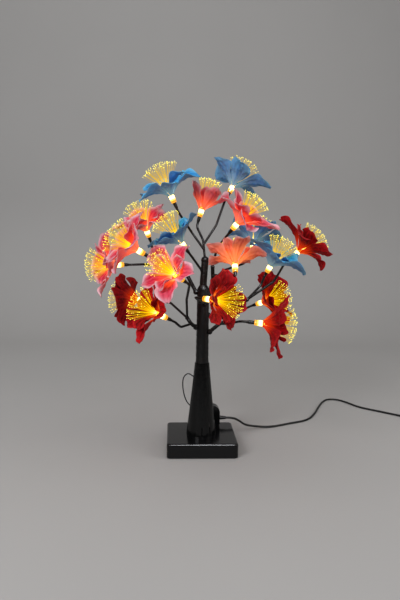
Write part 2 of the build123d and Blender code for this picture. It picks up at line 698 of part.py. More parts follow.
def circuit_board():
    """Circuit board on the posts, and the push switch behind the button."""
    inset = BOX_WALL + BOARD_GAP
    board = box_slab(inset, board_front(), board_front() + BOARD_T)
    top = button_plane().origin
    rear = board_front() + BOARD_T
    seat = BOX_REAR_Y - BOX_WALL - SLIDE_CLEAR - BUTTON_FLANGE_T
    body = Pos(top.X, rear + SWITCH_H / 2, top.Z) * Box(SWITCH_W, SWITCH_H, SWITCH_W)
    plunger = cylinder(Plane(origin=(top.X, rear, top.Z), z_dir=(0, 1, 0)), 1.7, SWITCH_H,
                       seat - rear - BUTTON_TRAVEL - SLIDE_CLEAR)
    return [board, body + plunger]


def feed_lead():
    """Thin lead that loops out of the trunk and runs down behind it to the switch box."""
    solid, path, radii = swept_tube(lead_points(), LEAD_R)
    report_tube("feed lead", solid, path, LEAD_R, radii)
    return solid


# Supply cord
def cord_relief():
    """Tapered strain relief, with a flange inside the box's wall."""
    plane = relief_axis()
    taper = loft([plane.offset(0) * Circle(RELIEF_R), plane.offset(RELIEF_LEN) * Circle(RELIEF_TIP_R)])
    neck = cylinder(plane, RELIEF_R, -BOX_WALL, 0.1)
    flange = cylinder(plane, RELIEF_R + 0.8, -BOX_WALL - SLIDE_CLEAR - RELIEF_FLANGE_T, -BOX_WALL - SLIDE_CLEAR)
    collar = cylinder(plane, RELIEF_R, -BOX_WALL - SLIDE_CLEAR - 0.1, -BOX_WALL + 0.1)
    return taper.fuse(neck, flange, collar)


def report_tube(name, solid, path, radius, radii):
    """Print a tube's length, its least bend radius and how its volume compares with a plain tube's."""
    expected = math.pi * radius ** 2 * path.length
    least = f", least radius {min(radii):.1f}" if radii else ""
    print(f"{name}: length {path.length:.1f}, volume share {solid.volume / expected:.4f}{least}")


def power_cord():
    """Free stretch of the supply cord, from the strain relief to the wound rest."""
    plane = relief_axis()
    start = plane.origin + plane.z_dir * RELIEF_LEN
    clear = start + plane.z_dir * CORD_STRAIGHT
    solid, path, radii = swept_tube([start, clear, *CORD_ROUTE], CORD_R)
    print("cord radii", [round(r, 1) for r in radii])
    report_tube("power cord", solid, path, CORD_R, radii)
    return solid


def biarc(start, start_dir, end, end_dir):
    """Two arcs that join two points with given directions."""
    span = end - start
    both = start_dir + end_dir
    square = 2 * (start_dir.dot(end_dir) - 1)
    if abs(square) < 1e-9:
        reach = span.dot(span) / (2 * span.dot(both))
    else:
        lean = span.dot(both)
        reach = (lean - math.sqrt(lean ** 2 - square * span.dot(span))) / square
    knee_in, knee_out = start + start_dir * reach, end - end_dir * reach
    middle = (knee_in + knee_out) * 0.5
    arcs = []
    for a, knee, b in ((start, knee_in, middle), (middle, knee_out, end)):
        chord = (a + b) * 0.5
        half_turn = math.radians((knee - a).get_angle(b - knee)) / 2
        lift = math.cos(half_turn) / (1 + math.cos(half_turn))
        arcs.append(ThreePointArc(a, chord + (knee - chord) * lift, b))
    return arcs


def coil_stops():
    """Points and directions of the winding at each half turn: inward below, outward above."""
    stops = []
    for k in range(COIL_HALF_TURNS + 1):
        side = -1 if k % 2 == 0 else 1
        stops.append((Vector(COIL_X, COIL_Y + side * (COIL_R - COIL_STEP / 2 * k), COIL_LOW), Vector(-side, 0, 0)))
    inner = COIL_R - COIL_STEP / 2 * COIL_HALF_TURNS
    for k in range(COIL_HALF_TURNS):
        side = 1 if k % 2 == 0 else -1
        radius = inner + COIL_STEP / 2 * (k if k else -1)
        stops.append((Vector(COIL_X, COIL_Y + side * radius, COIL_LOW + COIL_STEP), Vector(-side, 0, 0)))
    return stops


def plug_start():
    """Where the cord enters the plug's boot."""
    last, way = coil_stops()[-1]
    return Vector(last.X + TAIL_LEN + TAIL_DROP_LEN + CORD_D, last.Y, PLUG_H / 2)


def coil_path():
    """Centre line of the wound cord, from the free stretch to the plug."""
    stops = coil_stops()
    first, way = stops[0]
    edges = [Line(first - way * CORD_D, first)]
    for (a, a_dir), (b, b_dir) in zip(stops, stops[1:]):
        edges += biarc(a, a_dir, b, b_dir)
    last, way = stops[-1]
    drop = last + way * TAIL_LEN
    level = plug_start() - way * CORD_D
    edges += [Line(last, drop), *biarc(drop, way, level, way), Line(level, plug_start())]
    return Wire([edge.edge() if hasattr(edge, "edge") else edge for edge in edges])


def self_gap(path, radius):
    """Least clear distance of a wound tube to itself, measured on points along it."""
    count = int(path.length / 1.5)
    points = [path @ (k / count) for k in range(count + 1)]
    skip = int(math.pi * 8 / 1.5)
    nearest = min((points[i] - points[j]).length
                  for i in range(len(points)) for j in range(i + skip, len(points)))
    return nearest - 2 * radius


def cord_coil():
    """Rest of the cord, wound in two flat layers, one unbroken tube."""
    path = coil_path()
    section = Plane(origin=path @ 0, z_dir=path % 0) * Circle(CORD_R)
    solid = sweep(section, path=path)
    report_tube("cord coil", solid, path, CORD_R, [])
    print(f"cord coil: least gap to itself {self_gap(path, CORD_R):.2f}")
    return solid


def coil_tie():
    """Flat tie round all the turns on one side of the winding."""
    inner = COIL_R - COIL_STEP / 2 * (COIL_HALF_TURNS + 1) - CORD_R - TIE_CLEAR
    outer = COIL_R + CORD_R + TIE_CLEAR
    low = COIL_LOW - CORD_R - 0.1
    high = COIL_LOW + COIL_STEP + CORD_R + TIE_CLEAR
    plane = Plane(origin=(COIL_X + (inner + outer) / 2, COIL_Y + TIE_W / 2, (low + high) / 2),
                  x_dir=(1, 0, 0), z_dir=(0, -1, 0))
    ring = (RectangleRounded(outer - inner + 2 * TIE_T, high - low + 2 * TIE_T, 1 + TIE_T)
            - RectangleRounded(outer - inner, high - low, 1))
    return extrude(plane * ring, TIE_W)


def plug_plane():
    """Plane of the plug: origin where the cord enters, Z the way the plug points."""
    return Plane(origin=plug_start(), x_dir=(0, 1, 0), z_dir=(1, 0, 0))


def cord_plug():
    """Overmoulded plug body with its boot."""
    plane = plug_plane()
    boot = loft([plane * Circle(PLUG_BOOT_R), plane.offset(PLUG_BOOT_LEN) * Circle(PLUG_H / 2 - 0.4)])
    body = extrude(plane.offset(PLUG_BOOT_LEN) * RectangleRounded(PLUG_W, PLUG_H, 2.2), PLUG_LEN)
    far = PLUG_BOOT_LEN + PLUG_LEN
    pocket = extrude(plane.offset(far - SHELL_SUNK) * Rectangle(SHELL_W + 2 * SLIDE_CLEAR, SHELL_H + 2 * SLIDE_CLEAR),
                     SHELL_SUNK + 1)
    return boot + body - pocket


def plug_contact():
    """Pressed metal shell of the plug, half filled by its contact tongue."""
    plane = plug_plane().offset(PLUG_BOOT_LEN + PLUG_LEN - SHELL_SUNK)
    shell = extrude(plane * RectangleRounded(SHELL_W, SHELL_H, 0.5), SHELL_SUNK + SHELL_LEN)
    hollow = Pos(0, SHELL_H / 4 - SHELL_WALL / 2, 0) * Rectangle(SHELL_W - 2 * SHELL_WALL, SHELL_H / 2 - SHELL_WALL)
    return shell - extrude(plane.offset(SHELL_SUNK) * hollow, SHELL_LEN + 1)


def save(name, shape):
    """Write one node. A list becomes a group of separate solids."""
    solids = []
    for piece in shape if isinstance(shape, list) else [shape]:
        solids += piece.solids()
    out = solids[0] if len(solids) == 1 else Compound(children=solids)
    out.label = name
    export_step(out, f"parts/{name}.step")


def carried_groups():
    """Limbs by the body that carries them: the fixed crown, then each bending limb."""
    fixed = tuple(limb.name for limb in LIMBS if limb.name not in BENDING_LIMBS)
    groups = {"crown": fixed}
    for name in BENDING_LIMBS:
        groups[name.removesuffix("_limb")] = (name,)
    return groups


def main():
    os.makedirs("parts", exist_ok=True)
    for make in (base_shell, base_plate, base_screws, foot_pad, ballast_plate, trunk_foot, trunk_screws,
                 trunk_wrap, lead_bundle, switch_box_shell, switch_box_lid, power_button, circuit_board,
                 feed_lead, cord_relief, power_cord, cord_coil, coil_tie, cord_plug, plug_contact):
        save(make.__name__, make())
    for limb in LIMBS:
        save(limb.name, limb_solid(limb))
    for flower in FLOWERS.values():
        save(f"{flower.name}_petals", flower_petals(flower))
    for group, limbs in carried_groups().items():
        carried = flowers_on(limbs)
        save(f"{group}_led_sleeves", [led_sleeve(f) for f in carried])
        save(f"{group}_led_lamps", [led_lamp(f) for f in carried])
        save(f"{group}_fibre_tufts", [fibre_tuft(f) for f in carried])


main()
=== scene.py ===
"""Flowering-tree table lamp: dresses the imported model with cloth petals, lit fibres and wrapped wire.

Lengths are in millimetres, in the model's own frame, and become metres in the mesh. Only the studio's
lights are placed in metres.
"""

import json
import logging
import math
from dataclasses import dataclass, field
from enum import Enum
from typing import Any

import bpy
import numpy as np
from mathutils import Matrix

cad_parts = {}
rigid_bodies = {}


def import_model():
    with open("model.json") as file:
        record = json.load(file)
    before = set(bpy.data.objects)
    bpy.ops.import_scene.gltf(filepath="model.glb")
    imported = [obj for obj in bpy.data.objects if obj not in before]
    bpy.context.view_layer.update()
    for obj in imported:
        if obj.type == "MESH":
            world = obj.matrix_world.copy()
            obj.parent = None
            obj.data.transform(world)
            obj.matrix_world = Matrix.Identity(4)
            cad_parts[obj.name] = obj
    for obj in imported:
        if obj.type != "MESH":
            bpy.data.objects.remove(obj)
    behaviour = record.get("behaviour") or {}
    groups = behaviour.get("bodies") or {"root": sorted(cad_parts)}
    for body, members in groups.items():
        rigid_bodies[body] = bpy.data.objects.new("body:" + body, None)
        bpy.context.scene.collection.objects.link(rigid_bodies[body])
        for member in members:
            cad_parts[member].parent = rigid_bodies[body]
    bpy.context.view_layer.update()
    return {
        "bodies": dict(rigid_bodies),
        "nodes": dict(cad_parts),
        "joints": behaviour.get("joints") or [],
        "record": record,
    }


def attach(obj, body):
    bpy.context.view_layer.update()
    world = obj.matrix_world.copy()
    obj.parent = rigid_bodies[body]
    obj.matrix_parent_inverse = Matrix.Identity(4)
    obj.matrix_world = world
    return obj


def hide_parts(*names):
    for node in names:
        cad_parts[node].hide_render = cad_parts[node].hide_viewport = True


LOG = logging.getLogger("flower_lamp")
MM = 0.001
TAU = 2 * math.pi
GOLDEN_TURN = np.radians(137.508)
TRUNK_TOP = 250.0
BASE_TOP = 22.0

Array = np.ndarray
Triple = tuple[float, float, float]
Colour = tuple[float, float, float]


class Hue(Enum):
    """Dye of a flower's cloth. The value is the record's material slot."""
    BLUE = "petal_blue"
    PINK = "petal_pink"
    CORAL = "petal_coral"
    RED = "petal_red"


# Shader expressions
class Shade:
    """A shader socket that takes part in Python expressions."""

    def __init__(self, tree: "FinishTree", socket: bpy.types.NodeSocket) -> None:
        """Keep the socket and the tree that it belongs to."""
        self.tree = tree
        self.socket = socket

    def _math(self, operation: str, first: Any, second: Any = 0.0) -> "Shade":
        """One Math node on two values."""
        return self.tree.node("ShaderNodeMath", {"operation": operation}, {0: first, 1: second})

    def __add__(self, other: Any) -> "Shade":
        """Sum."""
        return self._math("ADD", self, other)

    def __radd__(self, other: Any) -> "Shade":
        """Sum, reflected."""
        return self._math("ADD", other, self)

    def __sub__(self, other: Any) -> "Shade":
        """Difference."""
        return self._math("SUBTRACT", self, other)

    def __rsub__(self, other: Any) -> "Shade":
        """Difference, reflected."""
        return self._math("SUBTRACT", other, self)

    def __mul__(self, other: Any) -> "Shade":
        """Product."""
        return self._math("MULTIPLY", self, other)

    def __truediv__(self, other: Any) -> "Shade":
        """Quotient."""
        return self._math("DIVIDE", self, other)

    def __abs__(self) -> "Shade":
        """Size without sign."""
        return self._math("ABSOLUTE", self)

    def cosine(self) -> "Shade":
        """Cosine of an angle in radians."""
        return self._math("COSINE", self)

    def ramp(self, low: float, high: float) -> "Shade":
        """Smooth step from 0 at low to 1 at high."""
        settings = {"interpolation_type": "SMOOTHSTEP"}
        return self.tree.node("ShaderNodeMapRange", settings, {0: self, 1: low, 2: high, 3: 0.0, 4: 1.0})


class FinishTree:
    """One material's node tree, with a Principled surface at its end."""

    def __init__(self, name: str, **constants: Any) -> None:
        """Start a material.

        Args:
            name: the material's name.
            constants: Principled sockets, by name with _ for a space, that are the same all over.
        """
        self.material = bpy.data.materials.new(name)
        self.material.use_nodes = True
        self.nodes = self.material.node_tree.nodes
        self.links = self.material.node_tree.links
        self.nodes.clear()
        self.surface = self.nodes.new("ShaderNodeBsdfPrincipled")
        output = self.nodes.new("ShaderNodeOutputMaterial")
        self.links.new(self.surface.outputs[0], output.inputs[0])
        for key, value in constants.items():
            self.set(key.replace("_", " "), value)

    def feed(self, socket: bpy.types.NodeSocket, value: Any) -> None:
        """Link a shade to a socket, or set a plain value on it.

        Args:
            socket: the input that is fed.
            value: a shade, a number, or a colour, which gets its fourth number here.
        """
        if isinstance(value, Shade):
            self.links.new(value.socket, socket)
            return
        if isinstance(value, tuple) and len(value) == 3 and len(socket.default_value) == 4:
            value = (*value, 1.0)
        socket.default_value = value

    def set(self, name: str, value: Any) -> None:
        """Set one of the surface's sockets."""
        self.feed(self.surface.inputs[name], value)

    def node(self, kind: str, settings: dict[str, Any], inputs: dict[Any, Any], output: Any = 0) -> Shade:
        """Add a node.

        Args:
            kind: the node's type.
            settings: properties that are set first; stops fills a colour ramp.
            inputs: values or shades by socket.
            output: the socket that is returned.

        Returns:
            The chosen output as a shade.
        """
        added = self.nodes.new(kind)
        for key, value in settings.items():
            if key == "stops":
                self._stops(added.color_ramp, value)
            else:
                setattr(added, key, value)
        for key, value in inputs.items():
            self.feed(added.inputs[key], value)
        return Shade(self, added.outputs[output])

    @staticmethod
    def _stops(ramp: bpy.types.ColorRamp, stops: list[tuple[float, Colour]]) -> None:
        """Fill a colour ramp.

        Args:
            ramp: the ramp, which starts with two stops.
            stops: places from 0 to 1 with their colours.
        """
        while len(ramp.elements) < len(stops):
            ramp.elements.new(1.0)
        for element, (place, colour) in zip(ramp.elements, stops):
            element.position = place
            element.color = (*colour, 1.0)

    def blend(self, share: Any, first: Any, second: Any) -> Shade:
        """Colour between two colours."""
        return self.node("ShaderNodeMix", {"data_type": "RGBA"}, {0: share, 6: first, 7: second}, 2)

    def place(self) -> Shade:
        """Object coordinates."""
        return self.node("ShaderNodeTexCoord", {}, {}, "Object")

    def noise(self, scale: float, detail: float, where: Shade | None = None) -> Shade:
        """Noise between 0 and 1 at a scale per metre of the given coordinates."""
        inputs = {"Vector": where or self.place(), "Scale": scale, "Detail": detail}
        return self.node("ShaderNodeTexNoise", {}, inputs)

    def stretched(self, scale: Triple) -> Shade:
        """Object coordinates scaled by axis."""
        return self.node("ShaderNodeMapping", {}, {"Vector": self.place(), "Scale": scale})

    def bump(self, height: Shade, strength: float, distance: float) -> None:
        """Bump on the surface's normal, distance in millimetres."""
        inputs = {"Strength": strength, "Distance": distance * MM, "Height": height}
        self.set("Normal", self.node("ShaderNodeBump", {}, inputs))

    def attribute(self, name: str) -> Shade:
        """One of the mesh's own float attributes."""
        return self.node("ShaderNodeAttribute", {"attribute_name": name}, {}, "Fac")


# Mesh helpers
def grid_quads(rows: int, columns: int, wrap: bool = False) -> Array:
    """Quads of a grid of points.

    Args:
        rows: points along the first parameter.
        columns: points along the second.
        wrap: whether the second parameter closes on itself.

    Returns:
        Indices, four to a face.
    """
    across = columns if wrap else columns - 1
    row, column = np.meshgrid(np.arange(rows - 1), np.arange(across), indexing="ij")
    after = (column + 1) % columns
    quads = np.stack([row * columns + column, row * columns + after,
                      (row + 1) * columns + after, (row + 1) * columns + column], -1)
    return quads.reshape(-1, 4)


def tiled(faces: Array, copies: int, points: int) -> Array:
    """The same faces on several copies of one block of points."""
    shift = np.arange(copies)[:, None, None] * points
    return (faces[None] + shift).reshape(-1, faces.shape[1])


@dataclass
class Surface:
    """Points in millimetres with faces and values at the points."""
    points: Array
    faces: list[Array]
    values: dict[str, Array] = field(default_factory=dict)

    @staticmethod
    def joined(parts: list["Surface"]) -> "Surface":
        """Several surfaces as one.

        Args:
            parts: surfaces that carry values of the same names.

        Returns:
            The whole, with each part's faces moved on by the points before it.
        """
        starts = np.cumsum([0] + [len(part.points) for part in parts[:-1]])
        faces = [face + start for part, start in zip(parts, starts) for face in part.faces]
        values = {key: np.concatenate([part.values[key] for part in parts]) for key in parts[0].values}
        return Surface(np.concatenate([part.points for part in parts]), faces, values)

    def moved(self, frame: Array, origin: Array) -> "Surface":
        """The surface carried from a local frame, whose axes are the columns, to the model's frame."""
        return Surface(self.points @ frame.T + origin, self.faces, self.values)

    def object(self, name: str, material: bpy.types.Material) -> bpy.types.Object:
        """Make the Blender object, shaded smooth.

        Args:
            name: the piece's name.
            material: its finish.

        Returns:
            The new object, at the origin.
        """
        mesh = bpy.data.meshes.new(name)
        loops = np.concatenate([face.ravel() for face in self.faces]).astype(np.int32)
        sizes = np.concatenate([np.full(len(face), face.shape[1]) for face in self.faces])
        starts = np.concatenate([[0], np.cumsum(sizes)[:-1]]).astype(np.int32)
        mesh.vertices.add(len(self.points))
        mesh.vertices.foreach_set("co", (self.points * MM).astype(np.float32).ravel())
        mesh.loops.add(len(loops))
        mesh.loops.foreach_set("vertex_index", loops)
        mesh.polygons.add(len(starts))
        mesh.polygons.foreach_set("loop_start", starts)
        mesh.polygons.foreach_set("use_smooth", np.full(len(starts), True))
        for key, value in self.values.items():
            mesh.attributes.new(key, "FLOAT", "POINT").data.foreach_set("value", value.astype(np.float32))
        mesh.update(calc_edges=True)
        mesh.validate()
        mesh.materials.append(material)
        piece = bpy.data.objects.new(name, mesh)
        bpy.context.scene.collection.objects.link(piece)
        return piece


# Flowers
@dataclass(frozen=True)
class Flower:
    """One flower: its seat above the trunk's top, the way it faces and how it opens.

    Azimuth 0 faces the front and 90 the right. Petal and fibre are lengths, the opening is the petals'
    angle from the axis at their tips, the spread is the outermost fibres' angle, and the phase makes
    each flower uneven in its own way. Angles are in degrees. The values are the solid model's, apart
    from the opening of blue_top_left and pink_top and the spread of pink_front_left. The fullness,
    which widens the petals, is this scene's own.
    """
    name: str
    hue: Hue
    seat: Triple
    azimuth: float
    elevation: float
    petal: float
    opening: float
    phase: float
    spread: float
    roll: float = 0.0
    fibre: float = 42.0
    fullness: float = 1.0

    def origin(self) -> Array:
        """The seat, from which heights along the flower's axis are counted."""
        return np.array(self.seat, float) + [0, 0, TRUNK_TOP]

    def frame(self) -> Array:
        """The flower's own axes.

        Returns:
            Axes as columns: X level and then rolled, Z the way the flower faces.
        """
        a = math.radians(self.azimuth)
        e = math.radians(self.elevation)
        axis = np.array([math.sin(a) * math.cos(e), -math.cos(a) * math.cos(e), math.sin(e)])
        steep = abs(axis[2]) >= 0.95
        up = np.array([0, 1.0, 0]) if steep else np.array([0, 0, 1.0])
        x = np.cross(up, axis)
        x /= np.linalg.norm(x)
        y = np.cross(axis, x)
        c, s = math.cos(math.radians(self.roll)), math.sin(math.radians(self.roll))
        return np.stack([c * x + s * y, c * y - s * x, axis], 1)


FLOWERS: dict[str, list[Flower]] = {
    "crown": [
        Flower("blue_top_left", Hue.BLUE, (-47, -8, 126), -78, 64, 47, 110, 0.3, 40,
               fibre=44, fullness=1.1),
        Flower("blue_top_right", Hue.BLUE, (43, 43, 147), 120, 58, 48, 92, 1.1, 40, fullness=1.1),
        Flower("blue_centre", Hue.BLUE, (-30, -21, 58), -70, 50, 46, 95, 2.2, 36, roll=12, fullness=1.1),
        Flower("blue_rear", Hue.BLUE, (82, 60, 58), 150, 70, 48, 95, 4.0, 40, fullness=1.1),
        Flower("pink_top", Hue.PINK, (-5, 20, 108), 100, 74, 44, 42, 3.7, 26, fullness=0.74),
        Flower("pink_upper_right", Hue.PINK, (41, -38, 87), 60, 48, 48, 92, 4.6, 32, fullness=1.1),
        Flower("coral_centre", Hue.CORAL, (41, -59, 27), 180, 60, 45, 98, 5.5, 38,
               roll=24, fibre=32, fullness=0.76),
        Flower("red_centre", Hue.RED, (1, -59, -15), 55, -2, 47, 86, 2.5, 36, fullness=1.05),
    ],
    "left": [
        Flower("pink_far_left", Hue.PINK, (-126, 21, 29), -62, 0, 46, 92, 5.2, 40, fullness=1.1),
        Flower("pink_left", Hue.PINK, (-90, -60, 49), -72, 30, 48, 92, 0.9, 40, fullness=1.1),
        Flower("pink_upper_left", Hue.PINK, (-86, 53, 77), -35, 58, 46, 98, 1.9, 36, fullness=1.1),
    ],
    "lower_left": [
        Flower("red_lower_left", Hue.RED, (-58, -57, -41), -62, 26, 46, 96, 0.1, 40, fullness=1.05),
        Flower("red_far_left", Hue.RED, (-94, 48, -28), -105, 5, 46, 92, 1.3, 40, fullness=1.05),
        Flower("pink_front_left", Hue.PINK, (-36, -91, 15), -45, 26, 46, 104, 2.8, 29),
    ],
    "lower_right": [
        Flower("red_right", Hue.RED, (95, 59, -32), 52, 20, 49, 86, 3.4, 38, roll=48, fullness=1.25),
        Flower("red_lower_right", Hue.RED, (73, -69, -47), 80, -4, 46, 88, 4.3, 38, fullness=1.05),
    ],
    "right": [
        Flower("blue_right", Hue.BLUE, (99, 4, 25), 60, 60, 50, 102, 3.1, 40, fullness=1.25),
        Flower("red_far_right", Hue.RED, (148, 44, 48), 90, 42, 50, 105, 5.9, 40, fullness=1.05),
    ],
}

# Values at a petal's points, which its finish reads
PETAL_VALUES = ("along", "across", "side", "tone")
RIBS = 5


@dataclass(frozen=True)
class PetalFinish:
    """Dyed cloth of one flower colour, lit through from its root.

    Face and edge are dyes. Deep is painted shade for the cloth's grooves and valleys, and back is the
    back's duller colour, partly painted shade. Glow is the light in the cloth, which dies away at the
    share glow_reach of the petal's length, and core is the light at the petal's root.
    """
    hue: Hue
    face: Colour
    deep: Colour
    edge: Colour
    back: Colour
    glow: Colour
    core: Colour
    edge_share: float
    glow_reach: float
    glow_strength: float

    def material(self) -> bpy.types.Material:
        """Cloth with streaks along the petal, a paler rim, a duller back and light from its root.

        The streaks' grooves, the rib lines and the middle valley near the root are darkened towards deep,
        a painted shade colour, and the back's duller colour is partly painted shade that grows towards the
        root.

        Returns:
            The material.
        """
        tree = FinishTree(self.hue.value, Roughness=0.66, Specular_IOR_Level=0.07, Sheen_Weight=0.02,
                          Sheen_Roughness=0.4, Emission_Strength=self.glow_strength)
        along, across, side, tone = (tree.attribute(key) for key in PETAL_VALUES)
        swatch = {0: across * 9.0 + tone * 5.0, 1: along * 1.4, 2: side * 3.0}
        streak = tree.noise(2.2, 4.0, tree.node("ShaderNodeCombineXYZ", {}, swatch))
        patch = tree.noise(42.0, 2.0)
        # A cosine across the petal that follows the relief's ribs: painted shade along them, and it varies
        # the glow
        rib = 0.5 - (across * (RIBS * math.pi)).cosine() * 0.5
        rim = abs(across).ramp(0.45, 1.0) * 0.75 + along.ramp(0.62, 1.0) * 0.6
        # Darker towards deep in the streaks' grooves and along the rib lines, which is painted shade,
        # shifted by each petal's own tone
        dye_and_shade = (streak * 1.2 + tone * 0.3 + rib * 0.3 - 0.5).ramp(0.0, 0.75)
        pale = (rim + patch * 0.5 - 0.3).ramp(0.1, 1.0) * self.edge_share
        # The back's duller colour, partly painted shade that grows towards the root
        back_and_shade = (1 - side) * (0.45 + patch * 0.8) * (1.15 - along * 0.75)
        # Painted shade in the middle valley of the petal near its root
        valley_shade = (1 - abs(across)).ramp(0.75, 1.0) * (1 - along.ramp(0.5, 1.0))
        tint = tree.blend(dye_and_shade, self.deep, self.face)
        tint = tree.blend(pale, tint, self.edge)
        tint = tree.blend(back_and_shade, tint, self.back)
        tree.set("Base Color", tree.blend(valley_shade * 0.5, tint, self.deep))
        light = (1 - along / self.glow_reach).ramp(0.0, 1.0) * (0.25 + streak * 0.9 + rib * 0.3)
        heart = (1 - along / 0.24).ramp(0.0, 1.0) * side
        shine = tree.blend(light, (0.0, 0.0, 0.0), self.glow)
        tree.set("Emission Color", tree.blend(heart, shine, self.core))
        weave = tree.noise(2600.0, 1.0)
        crush = tree.noise(260.0, 3.0)
        tree.bump(streak + crush * 0.7 + weave * 0.2, 0.9, 1.1)
        return tree.material


# In each finish the second colour, deep, is painted shade, and the fourth, the back's colour, is partly
# painted shade
PETAL_FINISHES = (
    PetalFinish(Hue.BLUE, (0.035, 0.40, 0.84), (0.008, 0.16, 0.52), (0.22, 0.66, 0.95), (0.19, 0.29, 0.50),
                (0.20, 0.36, 0.34), (0.95, 0.85, 0.40), 0.7, 0.50, 0.5),
    PetalFinish(Hue.PINK, (0.90, 0.11, 0.18), (0.62, 0.01, 0.05), (0.92, 0.56, 0.64), (0.90, 0.19, 0.20),
                (1.0, 0.12, 0.02), (1.0, 0.60, 0.14), 1.0, 0.66, 1.15),
    PetalFinish(Hue.CORAL, (0.96, 0.21, 0.13), (0.74, 0.04, 0.03), (1.0, 0.58, 0.56), (0.96, 0.25, 0.15),
                (1.0, 0.20, 0.02), (1.0, 0.62, 0.18), 0.9, 0.78, 1.0),
    PetalFinish(Hue.RED, (0.58, 0.004, 0.008), (0.08, 0.0, 0.001), (0.78, 0.02, 0.026),
                (0.24, 0.001, 0.003), (1.0, 0.05, 0.0), (1.0, 0.38, 0.03), 0.6, 0.52, 0.75),
)

# Shares of a petal's half width at five places along it: a spoon for the reds, a leaf for the others
OUTLINE_PLACES = (0.0, 0.25, 0.55, 0.8, 1.0)
SPOON_OUTLINE = (0.14, 0.43, 0.92, 0.98, 0.46)
LEAF_OUTLINE = (0.15, 0.52, 0.98, 0.88, 0.24)
# Pitch per millimetre, lean in radians and multiple of the phase of the three sets of creases
CREASE_SETS = ((0.42, 1.2, 3.7), (0.55, -0.9, 5.3), (0.75, 0.5, 7.9))


@dataclass(frozen=True)
class PetalCut:
    """Size and carriage of one petal.

    The bearing is about the flower's axis, and start and opening are the petal's angles from that axis
    at its root and its tip, all in degrees. The height is that of its hub ring.
    """
    bearing: float
    length: float
    width: float
    start: float
    opening: float
    height: float
    phase: float


@dataclass(frozen=True)
class ClothForm:
    """How deep a petal's cloth is shaped.

    Valley, rib, fold, ruffle, flutter and curl are in millimetres, the twist in radians. Cup, valley_width
    and notch are shares of the half width, and sway and ragged are shares of the length.
    """
    cup: float = 0.32
    valley: float = 1.5
    valley_width: float = 0.2
    rib: float = 0.3
    fold: float = 0.45
    ruffle: float = 2.8
    flutter: float = 0.3
    curl: float = 4.0
    twist: float = 0.35
    notch: float = 0.05
    sway: float = 0.05
    ragged: float = 0.02


